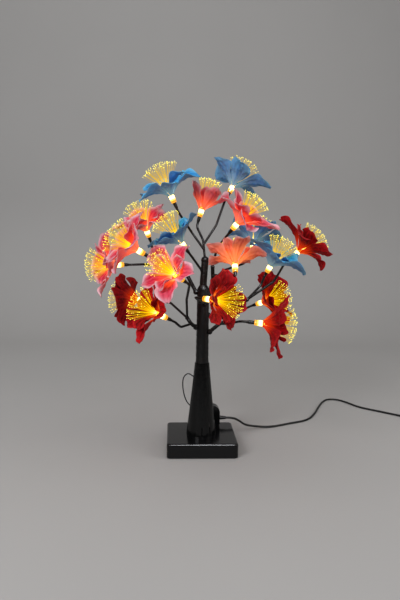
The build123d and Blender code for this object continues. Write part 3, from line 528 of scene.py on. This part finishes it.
@dataclass
class Corolla:
    """The petals of one flower on their hub rings, as cloth with ruffled rims."""
    flower: Flower
    form: ClothForm = ClothForm()
    hub: float = 5.0
    outer_height: float = 8.0
    inner_height: float = 10.6
    ring_radius: float = 4.62
    ring_half_width: float = 0.5
    ring_half_height: float = 0.8
    ring_steps: int = 32
    ring_sides: int = 10
    cloth: float = 0.5
    rows: int = 31
    columns: int = 31

    def cuts(self) -> list[PetalCut]:
        """The petals, uneven in the same way as the solids.

        Returns:
            The five outer and the three inner petals.
        """
        f = self.flower
        cuts = []
        for k in range(5):
            far = math.sin(2.3 * k + f.phase)
            wide = math.sin(1.7 * k + 2.1 * f.phase)
            cuts.append(PetalCut(
                bearing=72 * k + 5 * wide,
                length=f.petal * 1.06 * (1 + 0.10 * far),
                width=f.petal * 0.64 * f.fullness * (1 + 0.08 * wide),
                start=38,
                opening=f.opening + 16 * wide,
                height=self.outer_height,
                phase=f.phase + 1.3 * k))
        for k in range(3):
            sway = math.sin(2.9 * k + f.phase + 1)
            cuts.append(PetalCut(
                bearing=120 * k + 36 + 12 * sway,
                length=f.petal * 0.78 * (1 + 0.1 * sway),
                width=f.petal * 0.56 * f.fullness,
                start=22,
                opening=f.opening * 0.74 + 10 * sway,
                height=self.inner_height,
                phase=f.phase + 2.1 * k + 4))
        return cuts

    def half_width(self, cut: PetalCut, t: Array) -> Array:
        """Half the width along a petal: the quartic through the five places of its outline.

        Args:
            cut: the petal's sizes.
            t: share of the way along it.

        Returns:
            The half width at each share.
        """
        outline = SPOON_OUTLINE if self.flower.hue is Hue.RED else LEAF_OUTLINE
        quartic = np.polyfit(OUTLINE_PLACES, outline, 4)
        return cut.width / 2 * np.polyval(quartic, t)

    @staticmethod
    def creases(cut: PetalCut, t: Array, v: Array, half: Array) -> Array:
        """Three sets of creases, each a sine of the way along a line that leans across the petal.

        Args:
            cut: the petal's sizes.
            t: share of the way along it.
            v: place across it, from -1 to 1.
            half: its half width.

        Returns:
            Their sum, at most 3 either way.
        """
        along = cut.length * t
        across = half * v
        sets = [np.sin(pitch * (along * math.cos(lean) + across * math.sin(lean)) + order * cut.phase)
                for pitch, lean, order in CREASE_SETS]
        return np.stack(sets).sum(0)

    def relief(self, cut: PetalCut, t: Array, v: Array, half: Array) -> Array:
        """How far the cloth lies above the petal's middle line.

        A cup rises with the square of the place across. To it are added a valley along the middle,
        pressed ribs, creases that fade at the rim, a rim that waves most where the petal is wide, a tip
        that curls with the fourth power of the way along, and a twist that grows towards the tip.

        Args:
            cut: the petal's sizes.
            t: share of the way along it.
            v: place across it, from -1 to 1.
            half: its half width.

        Returns:
            Heights over the grid.
        """
        form = self.form
        edge = np.sign(v)
        ruffle = np.sin(TAU * 1.9 * t + cut.phase * 1.9 + 2.4 * edge) * np.abs(v) ** 2.2
        flutter = np.sin(TAU * 4.3 * t + cut.phase * 3.1 + 1.1 * edge) * np.abs(v) ** 3.5
        swell = (form.ruffle * ruffle + form.flutter * flutter) * 2 * half / cut.width
        folds = form.fold * self.creases(cut, t, v, half) * (1 - np.abs(v) ** 3)
        from_root = np.minimum(1, t * 1.6)
        ribs = np.cos(RIBS * math.pi * v) * np.sin(math.pi * np.clip(t * 1.15, 0, 1))
        valley = -form.valley * np.exp(-(v / form.valley_width) ** 2) * 4 * t * (1 - t)
        curl = math.sin(cut.phase * 2.7) * form.curl * t ** 4
        twist = v * half * np.sin(form.twist * math.sin(cut.phase * 1.3) * t)
        cup = form.cup * half * v ** 2
        return cup + (swell + folds) * from_root + valley + curl + form.rib * ribs + twist

    def petal(self, cut: PetalCut) -> Surface:
        """One petal as a closed sheet.

        Its middle line is an arc whose angle from the flower's axis grows evenly from start to opening.
        The cloth's relief is added square to that line. Sideways the petal fills its outline, which a
        sine notches, and it sways with the square of the way along. The tip's edge is ragged: it runs
        out and back along the line with a sine of the place across.

        Args:
            cut: the petal's sizes.

        Returns:
            The petal in the flower's frame.
        """
        form = self.form
        t = np.linspace(0, 1, self.rows)[:, None]
        v = np.sin(np.linspace(-1, 1, self.columns) * math.pi / 2)[None]
        start = math.radians(cut.start)
        bend = math.radians(cut.opening - cut.start)
        angle = start + bend * t
        out = self.hub + cut.length / bend * (math.cos(start) - np.cos(angle))
        up = cut.height + cut.length / bend * (np.sin(angle) - math.sin(start))
        half = self.half_width(cut, t)
        lift = self.relief(cut, t, v, half)
        notch = 1 + form.notch * np.sin(TAU * 2.3 * t + 2.1 * cut.phase + 1.7 * np.sign(v)) * t
        side = v * half * notch + form.sway * cut.length * math.sin(cut.phase * 1.9) * t ** 2
        wave = np.sin(5.0 * v + 3 * cut.phase) - 1.5 * v ** 2
        ragged = form.ragged * cut.length * wave * t ** 6
        sheet = np.stack([out - np.cos(angle) * lift + np.sin(angle) * ragged, side,
                          up + np.sin(angle) * lift + np.cos(angle) * ragged], -1)
        return self.closed(sheet, t, v, cut)

    def closed(self, sheet: Array, t: Array, v: Array, cut: PetalCut) -> Surface:
        """Give a petal's sheet its thickness.

        The normal is the cross product of the sheet's two slopes. Front and back lie half a thickness
        either side of the sheet, and a strip round the border joins them.

        Args:
            sheet: points of the middle surface.
            t: share of the way along the petal.
            v: place across it, from -1 to 1.
            cut: the petal's bearing and phase.

        Returns:
            The closed petal.
        """
        normal = np.cross(np.gradient(sheet, axis=1), np.gradient(sheet, axis=0))
        normal /= np.linalg.norm(normal, axis=-1, keepdims=True)
        normal *= np.sign(normal[self.rows // 2, self.columns // 2, 2])
        count = self.rows * self.columns
        front = sheet + normal * self.cloth / 2
        back = sheet - normal * self.cloth / 2
        points = np.concatenate([front.reshape(-1, 3), back.reshape(-1, 3)])
        index = np.arange(count).reshape(self.rows, self.columns)
        border = np.concatenate([index[0, :-1], index[:-1, -1], index[-1, :0:-1], index[:0:-1, 0]])
        after = np.roll(border, -1)
        rim = np.stack([border, border + count, after + count, after], -1)
        quads = grid_quads(self.rows, self.columns)
        c, s = math.cos(math.radians(cut.bearing)), math.sin(math.radians(cut.bearing))
        turn = np.array([[c, -s, 0], [s, c, 0], [0, 0, 1]])
        along = np.tile((t + 0 * v).ravel(), 2)
        across = np.tile((v + 0 * t).ravel(), 2)
        facing = np.repeat([1.0, 0.0], count)
        tone = np.full(2 * count, 0.5 + 0.5 * math.sin(cut.phase * 7.3))
        values = dict(zip(PETAL_VALUES, (along, across, facing, tone)))
        return Surface(points @ turn.T, [quads, quads[:, ::-1] + count, rim], values)

    def ring(self, height: float) -> Surface:
        """Hub ring: a small rounded section carried round the sleeve.

        Args:
            height: its middle's height above the seat.

        Returns:
            The ring in the flower's frame.
        """
        count = self.ring_steps * self.ring_sides
        turn = np.linspace(0, TAU, self.ring_steps, endpoint=False)[:, None]
        profile = np.linspace(0, TAU, self.ring_sides, endpoint=False)[None]
        radius = self.ring_radius + self.ring_half_width * np.cos(profile)
        level = height + self.ring_half_height * np.sin(profile) + 0 * turn
        points = np.stack([radius * np.cos(turn), radius * np.sin(turn), level], -1)
        quads = grid_quads(self.ring_steps + 1, self.ring_sides, wrap=True) % count
        return Surface(points.reshape(-1, 3), [quads], dict.fromkeys(PETAL_VALUES, np.zeros(count)))

    def build(self, material: bpy.types.Material) -> bpy.types.Object:
        """Make the flower's cloth.

        Args:
            material: the finish of its colour.

        Returns:
            The piece, which stands for the flower's petal node.
        """
        parts = [self.petal(cut) for cut in self.cuts()]
        parts += [self.ring(self.outer_height), self.ring(self.inner_height)]
        whole = Surface.joined(parts).moved(self.flower.frame(), self.flower.origin())
        piece = whole.object(f"{self.flower.name}_corolla", material)
        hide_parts(f"{self.flower.name}_petals")
        return piece


# Light guides
@dataclass
class FibreTuft:
    """Fan of light-guide fibres with a bright bead at every tip.

    Pull is the share of the way to its bunch that a fibre is drawn, shortest and longest are shares of
    the flower's fibre length, and straight is the share of the tilt that a fibre has at its root. Askew
    is a direction that no fibre takes, from which the tubes' sides are worked out. The glow runs from 0
    at the root to strand_end, and the beads have 1.
    """
    flower: Flower
    count: int = 72
    bunches: int = 25
    pull: float = 0.40
    scatter: float = 0.015
    radius: float = 0.17
    bead: float = 0.45
    stations: int = 8
    root_radius: float = 1.1
    root_height: float = 13.8
    shortest: float = 0.94
    longest: float = 0.99
    straight: float = 0.93
    askew: Triple = (0.31, 0.17, 0.93)
    strand_end: float = 0.96

    @staticmethod
    def seeds(count: int, start: float) -> Array:
        """Places in a unit disc, like seeds in a head: each a golden angle on, at the root of its rank.

        Args:
            count: how many.
            start: the first one's bearing in radians.

        Returns:
            Points in the plane.
        """
        rank = np.arange(count)
        share = np.sqrt((rank + 0.5) / count)
        turn = GOLDEN_TURN * rank + start
        return np.stack([share * np.cos(turn), share * np.sin(turn)], -1)

    def lines(self) -> Array:
        """Centre lines of the fibres.

        Directions are spread like seeds in a head, drawn part of the way towards a few bunches, and each
        fibre's tilt grows a little from its root to its tip.

        Returns:
            Points by fibre and station.
        """
        f = self.flower
        rng = np.random.default_rng(int(f.phase * 100) + 7)
        own = self.seeds(self.count, f.phase)
        root = np.column_stack([self.root_radius * own, np.full(self.count, self.root_height)])
        hearts = self.seeds(self.bunches, 2 * f.phase)
        near = np.argmin(np.linalg.norm(own[:, None] - hearts[None], axis=-1), axis=1)
        own = own + self.pull * (hearts[near] - own) + rng.normal(0, self.scatter, own.shape)
        turn = np.arctan2(own[:, 1], own[:, 0])
        tilt = math.radians(f.spread) * np.minimum(np.linalg.norm(own, axis=1), 1)
        length = f.fibre * rng.uniform(self.shortest, self.longest, self.count)
        t = np.linspace(0, 1, self.stations)
        bow = tilt[:, None] * (self.straight + (1 - self.straight) * t[None])
        way = length[:, None] * t[None]
        outwards = np.stack([np.cos(turn), np.sin(turn), np.zeros(self.count)], -1)
        ahead = np.array([0.0, 0.0, 1.0])
        radial = (np.sin(bow) * way)[..., None] * outwards[:, None]
        return root[:, None] + radial + (np.cos(bow) * way)[..., None] * ahead

    def strands(self, lines: Array) -> Surface:
        """Three-sided tubes carried along the fibres' lines, closed at both ends.

        Args:
            lines: points by fibre and station.

        Returns:
            The tubes, with the place along them kept for their glow.
        """
        way = np.gradient(lines, axis=1)
        way /= np.linalg.norm(way, axis=-1, keepdims=True)
        side = np.cross(way, np.array(self.askew))
        side /= np.linalg.norm(side, axis=-1, keepdims=True)
        up = np.cross(way, side)
        corner = np.arange(3) * TAU / 3
        ring = side[:, :, None] * np.cos(corner)[:, None] + up[:, :, None] * np.sin(corner)[:, None]
        points = lines[:, :, None] + self.radius * ring
        block = self.stations * 3
        ends = np.array([[0, 2, 1], [block - 3, block - 2, block - 1]])
        walls = tiled(grid_quads(self.stations, 3, wrap=True), self.count, block)
        caps = tiled(ends, self.count, block)
        share = np.linspace(0, self.strand_end, self.stations)
        along = np.broadcast_to(share[None, :, None], points.shape[:3])
        return Surface(points.reshape(-1, 3), [walls, caps], {"along": along.ravel()})

    def beads(self, tips: Array) -> Surface:
        """A twenty-sided bead on every tip: three mutually square golden rectangles' corners.

        Args:
            tips: the fibres' last points.

        Returns:
            The beads.
        """
        g = (1 + math.sqrt(5)) / 2
        corners = np.array([[-1, g, 0], [1, g, 0], [-1, -g, 0], [1, -g, 0], [0, -1, g], [0, 1, g],
                            [0, -1, -g], [0, 1, -g], [g, 0, -1], [g, 0, 1], [-g, 0, -1], [-g, 0, 1]])
        corners = corners / np.linalg.norm(corners[0]) * self.bead
        faces = np.array([[0, 11, 5], [0, 5, 1], [0, 1, 7], [0, 7, 10], [0, 10, 11], [1, 5, 9], [5, 11, 4],
                          [11, 10, 2], [10, 7, 6], [7, 1, 8], [3, 9, 4], [3, 4, 2], [3, 2, 6], [3, 6, 8],
                          [3, 8, 9], [4, 9, 5], [2, 4, 11], [6, 2, 10], [8, 6, 7], [9, 8, 1]])
        points = (tips[:, None] + corners[None]).reshape(-1, 3)
        return Surface(points, [tiled(faces, len(tips), len(corners))], {"along": np.ones(len(points))})

    def surface(self) -> Surface:
        """The whole tuft.

        Returns:
            Strands and beads in the model's frame.
        """
        lines = self.lines()
        whole = Surface.joined([self.strands(lines), self.beads(lines[:, -1])])
        return whole.moved(self.flower.frame(), self.flower.origin())


@dataclass
class LampSleeve:
    """Clear tube round a lamp, a lathe profile of radii and heights about the flower's axis."""
    flower: Flower
    sides: int = 28
    profile: tuple[tuple[float, float], ...] = (
        (2.72, -4.35), (3.7, -4.5), (3.95, -4.2), (4.0, -3.5), (4.0, -0.6), (4.0, 0.2), (4.0, 4.0),
        (4.0, 8.0), (4.0, 11.2), (3.9, 11.8), (3.6, 12.0), (2.72, 11.9), (2.72, 4.0))

    def surface(self) -> Surface:
        """The profile turned about the axis.

        Returns:
            The sleeve in the model's frame, with the place along it kept for its glow.
        """
        radius, height = np.array(self.profile).T
        turn = np.linspace(0, TAU, self.sides, endpoint=False)[:, None]
        points = np.stack([radius * np.cos(turn), radius * np.sin(turn), height + 0 * turn], -1)
        count = len(self.profile)
        quads = grid_quads(self.sides + 1, count, wrap=True) % (self.sides * count)
        along = np.tile((height - height.min()) / np.ptp(height), self.sides)
        local = Surface(points.reshape(-1, 3), [quads[:, ::-1]], {"along": along})
        return local.moved(self.flower.frame(), self.flower.origin())


@dataclass
class LightGear:
    """Sleeves and fibre tufts of one group of flowers, and the finishes of all that is lit."""
    group: str
    body: str
    fibre: bpy.types.Material
    sleeve: bpy.types.Material

    @staticmethod
    def fibre_finish() -> bpy.types.Material:
        """Amber light guide: bright where it leaves the lamp, dim along its side, white-gold at its tip.

        Returns:
            The material.
        """
        tree = FinishTree("fibre_amber", Base_Color=(0.20, 0.11, 0.0), Roughness=0.25,
                          Specular_IOR_Level=0.05, Emission_Strength=2.8)
        along = tree.attribute("along")
        stops = [(0.0, (0.80, 0.62, 0.20)), (0.15, (0.60, 0.36, 0.006)), (0.4, (0.36, 0.215, 0.0)),
                 (0.8, (0.26, 0.165, 0.0)), (0.95, (0.34, 0.24, 0.0)), (1.0, (1.0, 0.86, 0.08))]
        tree.set("Emission Color", tree.node("ShaderNodeValToRGB", {"stops": stops}, {0: along}))
        return tree.material

    @staticmethod
    def sleeve_finish() -> bpy.types.Material:
        """Clear tube flooded with light in front, with amber bands where it covers the shrunk tube.

        Returns:
            The material.
        """
        tree = FinishTree("clear_sleeve", Base_Color=(0.75, 0.40, 0.05), Roughness=0.18,
                          Emission_Strength=6.0)
        along = tree.attribute("along") + (tree.noise(380.0, 2.0) - 0.5) * 0.06
        stops = [(0.0, (0.09, 0.025, 0.0)), (0.07, (0.16, 0.075, 0.003)), (0.13, (0.07, 0.020, 0.0)),
                 (0.21, (0.15, 0.075, 0.004)), (0.32, (0.40, 0.25, 0.04)), (0.44, (0.80, 0.66, 0.24)),
                 (0.60, (0.80, 0.66, 0.24)), (0.76, (0.30, 0.15, 0.008))]
        tree.set("Emission Color", tree.node("ShaderNodeValToRGB", {"stops": stops}, {0: along}))
        return tree.material

    @staticmethod
    def lamp_finish() -> bpy.types.Material:
        """Small lit lamp, a little uneven.

        Returns:
            The material.
        """
        tree = FinishTree("lamp_warm", Base_Color=(1.0, 0.85, 0.55), Roughness=0.15, Emission_Strength=8.0)
        glow = tree.noise(300.0, 1.0).ramp(0.2, 0.8)
        tree.set("Emission Color", tree.blend(glow, (1.0, 0.70, 0.30), (1.0, 0.86, 0.55)))
        return tree.material

    def build(self) -> list[bpy.types.Object]:
        """Make the group's pieces.

        Returns:
            The tufts and the sleeves.
        """
        flowers = FLOWERS[self.group]
        guides = Surface.joined([FibreTuft(f).surface() for f in flowers])
        tufts = guides.object(f"{self.group}_fibres", self.fibre)
        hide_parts(f"{self.group}_fibre_tufts")
        tubes = Surface.joined([LampSleeve(f).surface() for f in flowers])
        sleeves = tubes.object(f"{self.group}_sleeves", self.sleeve)
        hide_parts(f"{self.group}_led_sleeves")
        for piece in (tufts, sleeves):
            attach(piece, self.body)
        return [tufts, sleeves]


# Stand
class StandFinishes:
    """Finishes of the base, trunk, limbs, box and plug, which keep their solids' shapes."""

    @staticmethod
    def gloss_black() -> bpy.types.Material:
        """Polished black moulding with faint ripples and dust.

        Returns:
            The material.
        """
        tree = FinishTree("gloss_black", Specular_IOR_Level=0.2, Coat_Weight=0.08, Coat_Roughness=0.05)
        dust = tree.noise(900.0, 3.0).ramp(0.55, 0.8)
        haze = tree.noise(24.0, 3.0)
        tree.set("Base Color", tree.blend(dust * 0.35, (0.003, 0.003, 0.0035), (0.014, 0.0135, 0.013)))
        tree.set("Roughness", 0.10 + haze * 0.14)
        tree.bump(tree.noise(60.0, 2.0), 0.12, 0.4)
        return tree.material

    @staticmethod
    def trunk_gloss() -> bpy.types.Material:
        """Black trunk moulding with drawn vertical streaks.

        Returns:
            The material.
        """
        tree = FinishTree("trunk_gloss", Specular_IOR_Level=0.2)
        streak = tree.noise(60.0, 4.0, tree.stretched((6.0, 6.0, 0.25)))
        black = tree.blend(streak.ramp(0.45, 0.8), (0.0015, 0.0015, 0.0015), (0.006, 0.0055, 0.0055))
        tree.set("Base Color", black)
        tree.set("Roughness", 0.05 + streak * 0.2)
        tree.bump(streak + tree.noise(190.0, 2.0) * 0.4, 0.5, 0.7)
        return tree.material

    @staticmethod
    def black_tape() -> bpy.types.Material:
        """Stretched crepe tape: wrinkled across, with worn ridges that carry a painted warm highlight of
        the lamps.

        Returns:
            The material.
        """
        tree = FinishTree("black_tape", Specular_IOR_Level=0.28)
        crepe = tree.noise(130.0, 4.0, tree.stretched((1.0, 1.0, 2.4)))
        fine = tree.noise(700.0, 2.0)
        # Lighter, brownish ridges: worn tape with a painted warm highlight of the lamps
        wear_and_glint = (crepe * 0.7 + fine * 0.3).ramp(0.5, 0.78)
        tree.set("Base Color", tree.blend(wear_and_glint, (0.002, 0.0018, 0.0018), (0.022, 0.012, 0.008)))
        tree.set("Roughness", 0.24 + fine * 0.26)
        tree.bump(crepe + fine * 0.3, 0.8, 1.1)
        return tree.material

    @staticmethod
    def plain(name: str, low: Colour, high: Colour, rough: float, metal: float = 0.0,
              grain: float = 300.0) -> bpy.types.Material:
        """Simple finish with a grained colour.

        Args:
            name: the material's name.
            low: colour in the grain's hollows.
            high: colour on its heights.
            rough: middle roughness.
            metal: how metallic it is.
            grain: the grain's scale per metre.

        Returns:
            The material.
        """
        tree = FinishTree(name, Metallic=metal, Specular_IOR_Level=0.25)
        speck = tree.noise(grain, 3.0)
        tree.set("Base Color", tree.blend(speck.ramp(0.3, 0.7), low, high))
        tree.set("Roughness", rough - 0.1 + speck * 0.2)
        tree.bump(speck, 0.25, 0.25)
        return tree.material

    def dress(self, nodes: dict[str, bpy.types.Object]) -> None:
        """Give every solid its finish: limbs and twigs are taped, and what isn't listed is cable black.

        Args:
            nodes: the solids' objects by node name.
        """
        gloss = self.gloss_black()
        tape = self.black_tape()
        steel = self.plain("screw_steel", (0.32, 0.32, 0.33), (0.55, 0.55, 0.56), 0.35, 1.0)
        cable = self.plain("cable_black", (0.005, 0.005, 0.005), (0.013, 0.0125, 0.012), 0.45)
        finishes = {
            "base_shell": gloss, "switch_box_shell": gloss, "switch_box_lid": gloss,
            "trunk_foot": self.trunk_gloss(), "trunk_wrap": tape,
            "base_screws": steel, "trunk_screws": steel, "ballast_plate": steel,
            "base_plate": self.plain("matte_black", (0.018, 0.018, 0.018), (0.035, 0.035, 0.035), 0.6),
            "foot_pad": self.plain("foam", (0.02, 0.02, 0.02), (0.06, 0.06, 0.06), 0.9, grain=1400.0),
            "circuit_board": self.plain("board_green", (0.01, 0.09, 0.04), (0.02, 0.14, 0.06), 0.4),
            "power_button": self.plain("button_black", (0.05, 0.05, 0.052), (0.09, 0.09, 0.09), 0.4),
            "plug_contact": self.plain("plated_steel", (0.55, 0.55, 0.57), (0.78, 0.78, 0.79), 0.25, 1.0),
        }
        for name, node in nodes.items():
            finish = finishes.get(name) or (tape if name.endswith(("_limb", "_twig")) else cable)
            node.data.materials.clear()
            node.data.materials.append(finish)


# Cords
@dataclass
class Cord:
    """A free cord on one smooth spline that its route's points steer."""
    name: str
    diameter: float
    route: Array

    def build(self, material: bpy.types.Material) -> bpy.types.Object:
        """Make the cord as a bevelled curve: a round section carried along a spline of third order.

        Args:
            material: its finish.

        Returns:
            The curve object.
        """
        curve = bpy.data.curves.new(self.name, "CURVE")
        curve.dimensions = "3D"
        curve.bevel_depth = self.diameter / 2 * MM
        curve.bevel_resolution = 3
        curve.use_fill_caps = True
        spline = curve.splines.new("NURBS")
        spline.points.add(len(self.route) - 1)
        weighted = np.column_stack([self.route * MM, np.ones(len(self.route))])
        spline.points.foreach_set("co", weighted.astype(np.float32).ravel())
        spline.order_u = 3
        spline.use_endpoint_u = True
        spline.resolution_u = 6
        curve.materials.append(material)
        piece = bpy.data.objects.new(self.name, curve)
        bpy.context.scene.collection.objects.link(piece)
        return piece


@dataclass
class SupplyCord:
    """The supply cord: its free stretch, the rest wound in two flat layers, and the tail to the plug."""
    diameter: float = 3.6
    exit: Triple = (42.0, 40.25, 33.0)
    free: tuple[Triple, ...] = (
        (54.0, 40.25, 33.0), (66.0, 48.0, 25.0), (77.0, 62.0, 13.5), (99.0, 83.0, 4.0),
        (127.0, 87.0, 1.8), (163.0, 107.0, 1.8), (199.0, 124.0, 1.8), (222.0, 164.0, 1.8),
        (239.0, 204.0, 1.8), (256.0, 240.0, 1.8), (272.0, 262.0, 1.8), (292.0, 262.0, 1.8),
        (307.0, 240.0, 1.8), (319.0, 206.0, 1.8), (348.0, 180.0, 1.8), (378.0, 150.0, 2.1),
        (402.0, 122.0, 2.7), (420.4, 122.0, 2.7))
    centre: tuple[float, float] = (424.0, 150.0)
    outer: float = 28.0
    pitch: float = 4.1
    low: float = 2.7
    layer_turns: int = 4
    per_turn: int = 16
    # Distance along X and height of the tail's points
    tail: tuple[tuple[float, float], ...] = (
        (430.0, 6.8), (436.0, 6.8), (448.0, 5.6), (456.0, 4.2), (462.0, 4.0), (465.6, 4.0))

    def winding(self) -> Array:
        """The wound rest: a spiral inwards below, half a turn that climbs, and a spiral outwards above.

        Returns:
            Points of the winding.
        """
        layer = self.layer_turns
        turns = np.arange(0, 2 * layer * self.per_turn + 1) / self.per_turn
        inner = self.outer - layer * self.pitch
        stop_turn = np.array([0.0, layer, layer + 0.5, layer + 1.0, 2 * layer])
        stop_radius = np.array([self.outer, inner, inner - self.pitch / 2, inner + self.pitch / 2,
                                inner + (layer - 0.5) * self.pitch])
        radius = np.interp(turns, stop_turn, stop_radius)
        climb = np.clip((turns - layer) / 0.5, 0, 1)
        height = self.low + self.pitch * climb
        angle = TAU * turns - math.pi / 2
        x = self.centre[0] + radius * np.cos(angle)
        y = self.centre[1] + radius * np.sin(angle)
        return np.stack([x, y, height], -1)

    def route(self) -> Array:
        """The cord's way from the strain relief to the plug.

        Returns:
            All its points.
        """
        last = self.centre[1] - (self.outer - self.pitch / 2)
        tail = np.array([(x, last, height) for x, height in self.tail])
        return np.concatenate([[self.exit], np.array(self.free), self.winding(), tail])

    def build(self, material: bpy.types.Material, nodes: dict[str, bpy.types.Object]) -> bpy.types.Object:
        """Args:
            material: its finish.
            nodes: the solids' objects, of which the plug and the tie lie on the cord. Not used.

        Returns:
            The cord.
        """
        piece = Cord("supply_cord", self.diameter, self.route()).build(material)
        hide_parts("power_cord", "cord_coil")
        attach(piece, "stand")
        self.diameter * MM
        return piece


@dataclass
class FeedLead:
    """The thin lead that loops out of the trunk and runs down behind it to the switch box."""
    diameter: float = 1.8
    points: tuple[Triple, ...] = (
        (-5.0, 0.0, 80.0), (-18.0, 1.0, 95.0), (-28.5, 2.5, 88.0), (-29.5, 4.5, 72.0),
        (-26.0, 8.0, 54.0), (-20.0, 16.0, 40.0), (-7.0, 27.0, 29.0), (-2.0, 37.5, 26.0))

    def build(self, material: bpy.types.Material) -> bpy.types.Object:
        """Args:
            material: its finish.

        Returns:
            The lead.
        """
        route = np.array(self.points) + [0, 0, BASE_TOP]
        piece = Cord("loop_lead", self.diameter, route).build(material)
        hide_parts("feed_lead")
        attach(piece, "stand")
        self.diameter * MM
        return piece


# Studio
@dataclass
class Studio:
    """Pale floor that sweeps up behind, soft lights and the camera at the photograph's place."""
    eye: Triple = (-4.62, -829.08, 304.82)
    heading: float = 3.0
    pitch: float = 5.3
    roll: float = 0.87
    lens: float = 33.0
    sensor: float = 36.0
    floor_front: float = -5000.0
    floor_back: float = 900.0
    floor_half: float = 6000.0
    sweep: float = 500.0
    wall_top: float = 3600.0

    def floor(self) -> bpy.types.Object:
        """Floor with a quarter-round sweep up to a plain wall, one profile carried sideways.

        Returns:
            The floor.
        """
        bend = np.linspace(0, math.pi / 2, 17)
        curve = np.stack([self.floor_back + self.sweep * np.sin(bend),
                          self.sweep - self.sweep * np.cos(bend)], -1)
        profile = np.concatenate([[(self.floor_front, 0)], curve,
                                  [(self.floor_back + self.sweep, self.wall_top)]])
        shape = (2, len(profile))
        side = np.array([-self.floor_half, self.floor_half])
        points = np.stack([np.broadcast_to(side[:, None], shape), np.broadcast_to(profile[:, 0], shape),
                           np.broadcast_to(profile[:, 1], shape)], -1)
        tree = FinishTree("studio_floor", Roughness=0.75)
        tree.set("Base Color", tree.blend(tree.noise(3.0, 2.0), (0.40, 0.39, 0.38), (0.43, 0.42, 0.41)))
        faces = grid_quads(2, len(profile))[:, ::-1]
        piece = Surface(points.reshape(-1, 3), [faces]).object("studio_floor", tree.material)
        return piece

    def lamp(self, name: str, place: Triple, aim: Triple, size: float, power: float, colour: Colour,
             height: float = 0.0) -> None:
        """One large soft light, or a strip that only glossy faces show.

        Args:
            name: its name.
            place: where it hangs, in metres.
            aim: the point it faces, in metres.
            size: its width in metres.
            power: watts.
            colour: its tint.
            height: a strip's height in metres, or none for a square light.
        """
        data = bpy.data.lights.new(name, "AREA")
        data.size = size
        data.energy = power
        data.color = colour
        light = bpy.data.objects.new(name, data)
        if height:
            data.shape = "RECTANGLE"
            data.size_y = height
            light.visible_diffuse = False
        way = np.array(aim) - np.array(place)
        way = way / np.linalg.norm(way)
        x = np.cross(way, [0, 0, 1.0])
        x = x / np.linalg.norm(x)
        light.matrix_world = self.placed(x, np.cross(x, way), -way, np.array(place))
        bpy.context.scene.collection.objects.link(light)

    @staticmethod
    def placed(x: Array, y: Array, z: Array, origin: Array) -> Matrix:
        """Matrix of a placed object.

        Args:
            x: its first axis.
            y: its second axis.
            z: its third axis.
            origin: its place in metres.

        Returns:
            The matrix with these as columns.
        """
        whole = np.eye(4)
        whole[:3] = np.column_stack([x, y, z, origin])
        return Matrix(whole.tolist())

    def camera(self) -> None:
        """Camera at the photograph's place, pitch and slight roll."""
        c, s = math.cos(math.radians(self.heading)), math.sin(math.radians(self.heading))
        to_model = np.array([[c, s, 0], [-s, c, 0], [0, 0, 1.0]])
        p = math.radians(self.pitch)
        r = math.radians(self.roll)
        ahead = np.array([0, math.cos(p), -math.sin(p)])
        level = np.array([1.0, 0, 0])
        upright = np.array([0, math.sin(p), math.cos(p)])
        right = math.cos(r) * level + math.sin(r) * upright
        top = math.cos(r) * upright - math.sin(r) * level
        data = bpy.data.cameras.new("photo_camera")
        data.lens = self.lens
        data.sensor_width = self.sensor
        data.clip_start = 0.05
        data.clip_end = 20.0
        camera = bpy.data.objects.new("photo_camera", data)
        axes = [to_model @ axis for axis in (right, top, -ahead, np.array(self.eye) * MM)]
        camera.matrix_world = self.placed(*axes)
        bpy.context.scene.collection.objects.link(camera)
        bpy.context.scene.camera = camera

    def build(self) -> None:
        """Set the stage."""
        self.floor()
        bpy.context.scene.view_settings.view_transform = "Standard"
        self.lamp("sky_panel", (-0.2, 0.0, 2.3), (0.0, 0.1, 0.2), 2.8, 19.0, (1.0, 0.99, 0.97))
        self.lamp("front_panel", (-1.0, -1.3, 1.1), (0.0, 0.0, 0.25), 0.8, 19.0, (0.97, 0.98, 1.0))
        self.lamp("gloss_strip", (0.3, -1.1, 1.3), (0.0, 0.0, 0.05), 0.7, 50.0, (0.93, 0.95, 1.0), 0.2)
        self.lamp("side_panel", (1.3, -0.5, 0.8), (0.0, 0.0, 0.25), 1.0, 7.0, (1.0, 0.97, 0.94))
        world = bpy.data.worlds.new("studio_air")
        world.use_nodes = True
        air = world.node_tree.nodes["Background"]
        air.inputs["Color"].default_value = (0.80, 0.82, 0.86, 1.0)
        air.inputs["Strength"].default_value = 0.2
        bpy.context.scene.world = world
        self.camera()


def main() -> None:
    """Build the lamp's pieces in order and report each."""
    logging.basicConfig(level=logging.INFO, format="%(name)s: %(message)s")
    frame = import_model()
    nodes = frame["nodes"]
    Studio().build()
    StandFinishes().dress(nodes)
    LOG.info("solids dressed: %d", len(nodes))
    cable = StandFinishes.plain("cord_jacket", (0.004, 0.004, 0.004), (0.011, 0.0105, 0.010), 0.42)
    for piece in (SupplyCord().build(cable, nodes), FeedLead().build(cable)):
        LOG.info("cord %s", piece.name)
    cloth = {finish.hue: finish.material() for finish in PETAL_FINISHES}
    fibre = LightGear.fibre_finish()
    sleeve = LightGear.sleeve_finish()
    lamp = LightGear.lamp_finish()
    for group, flowers in FLOWERS.items():
        body = "stand" if group == "crown" else f"{group}_branch"
        for flower in flowers:
            piece = Corolla(flower).build(cloth[flower.hue])
            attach(piece, body)
            LOG.info("petals %s", piece.name)
        for piece in LightGear(group, body, fibre, sleeve).build():
            LOG.info("light gear %s", piece.name)
        lit = nodes[f"{group}_led_lamps"].data.materials
        lit.clear()
        lit.append(lamp)


if __name__ == "__main__":
    main()
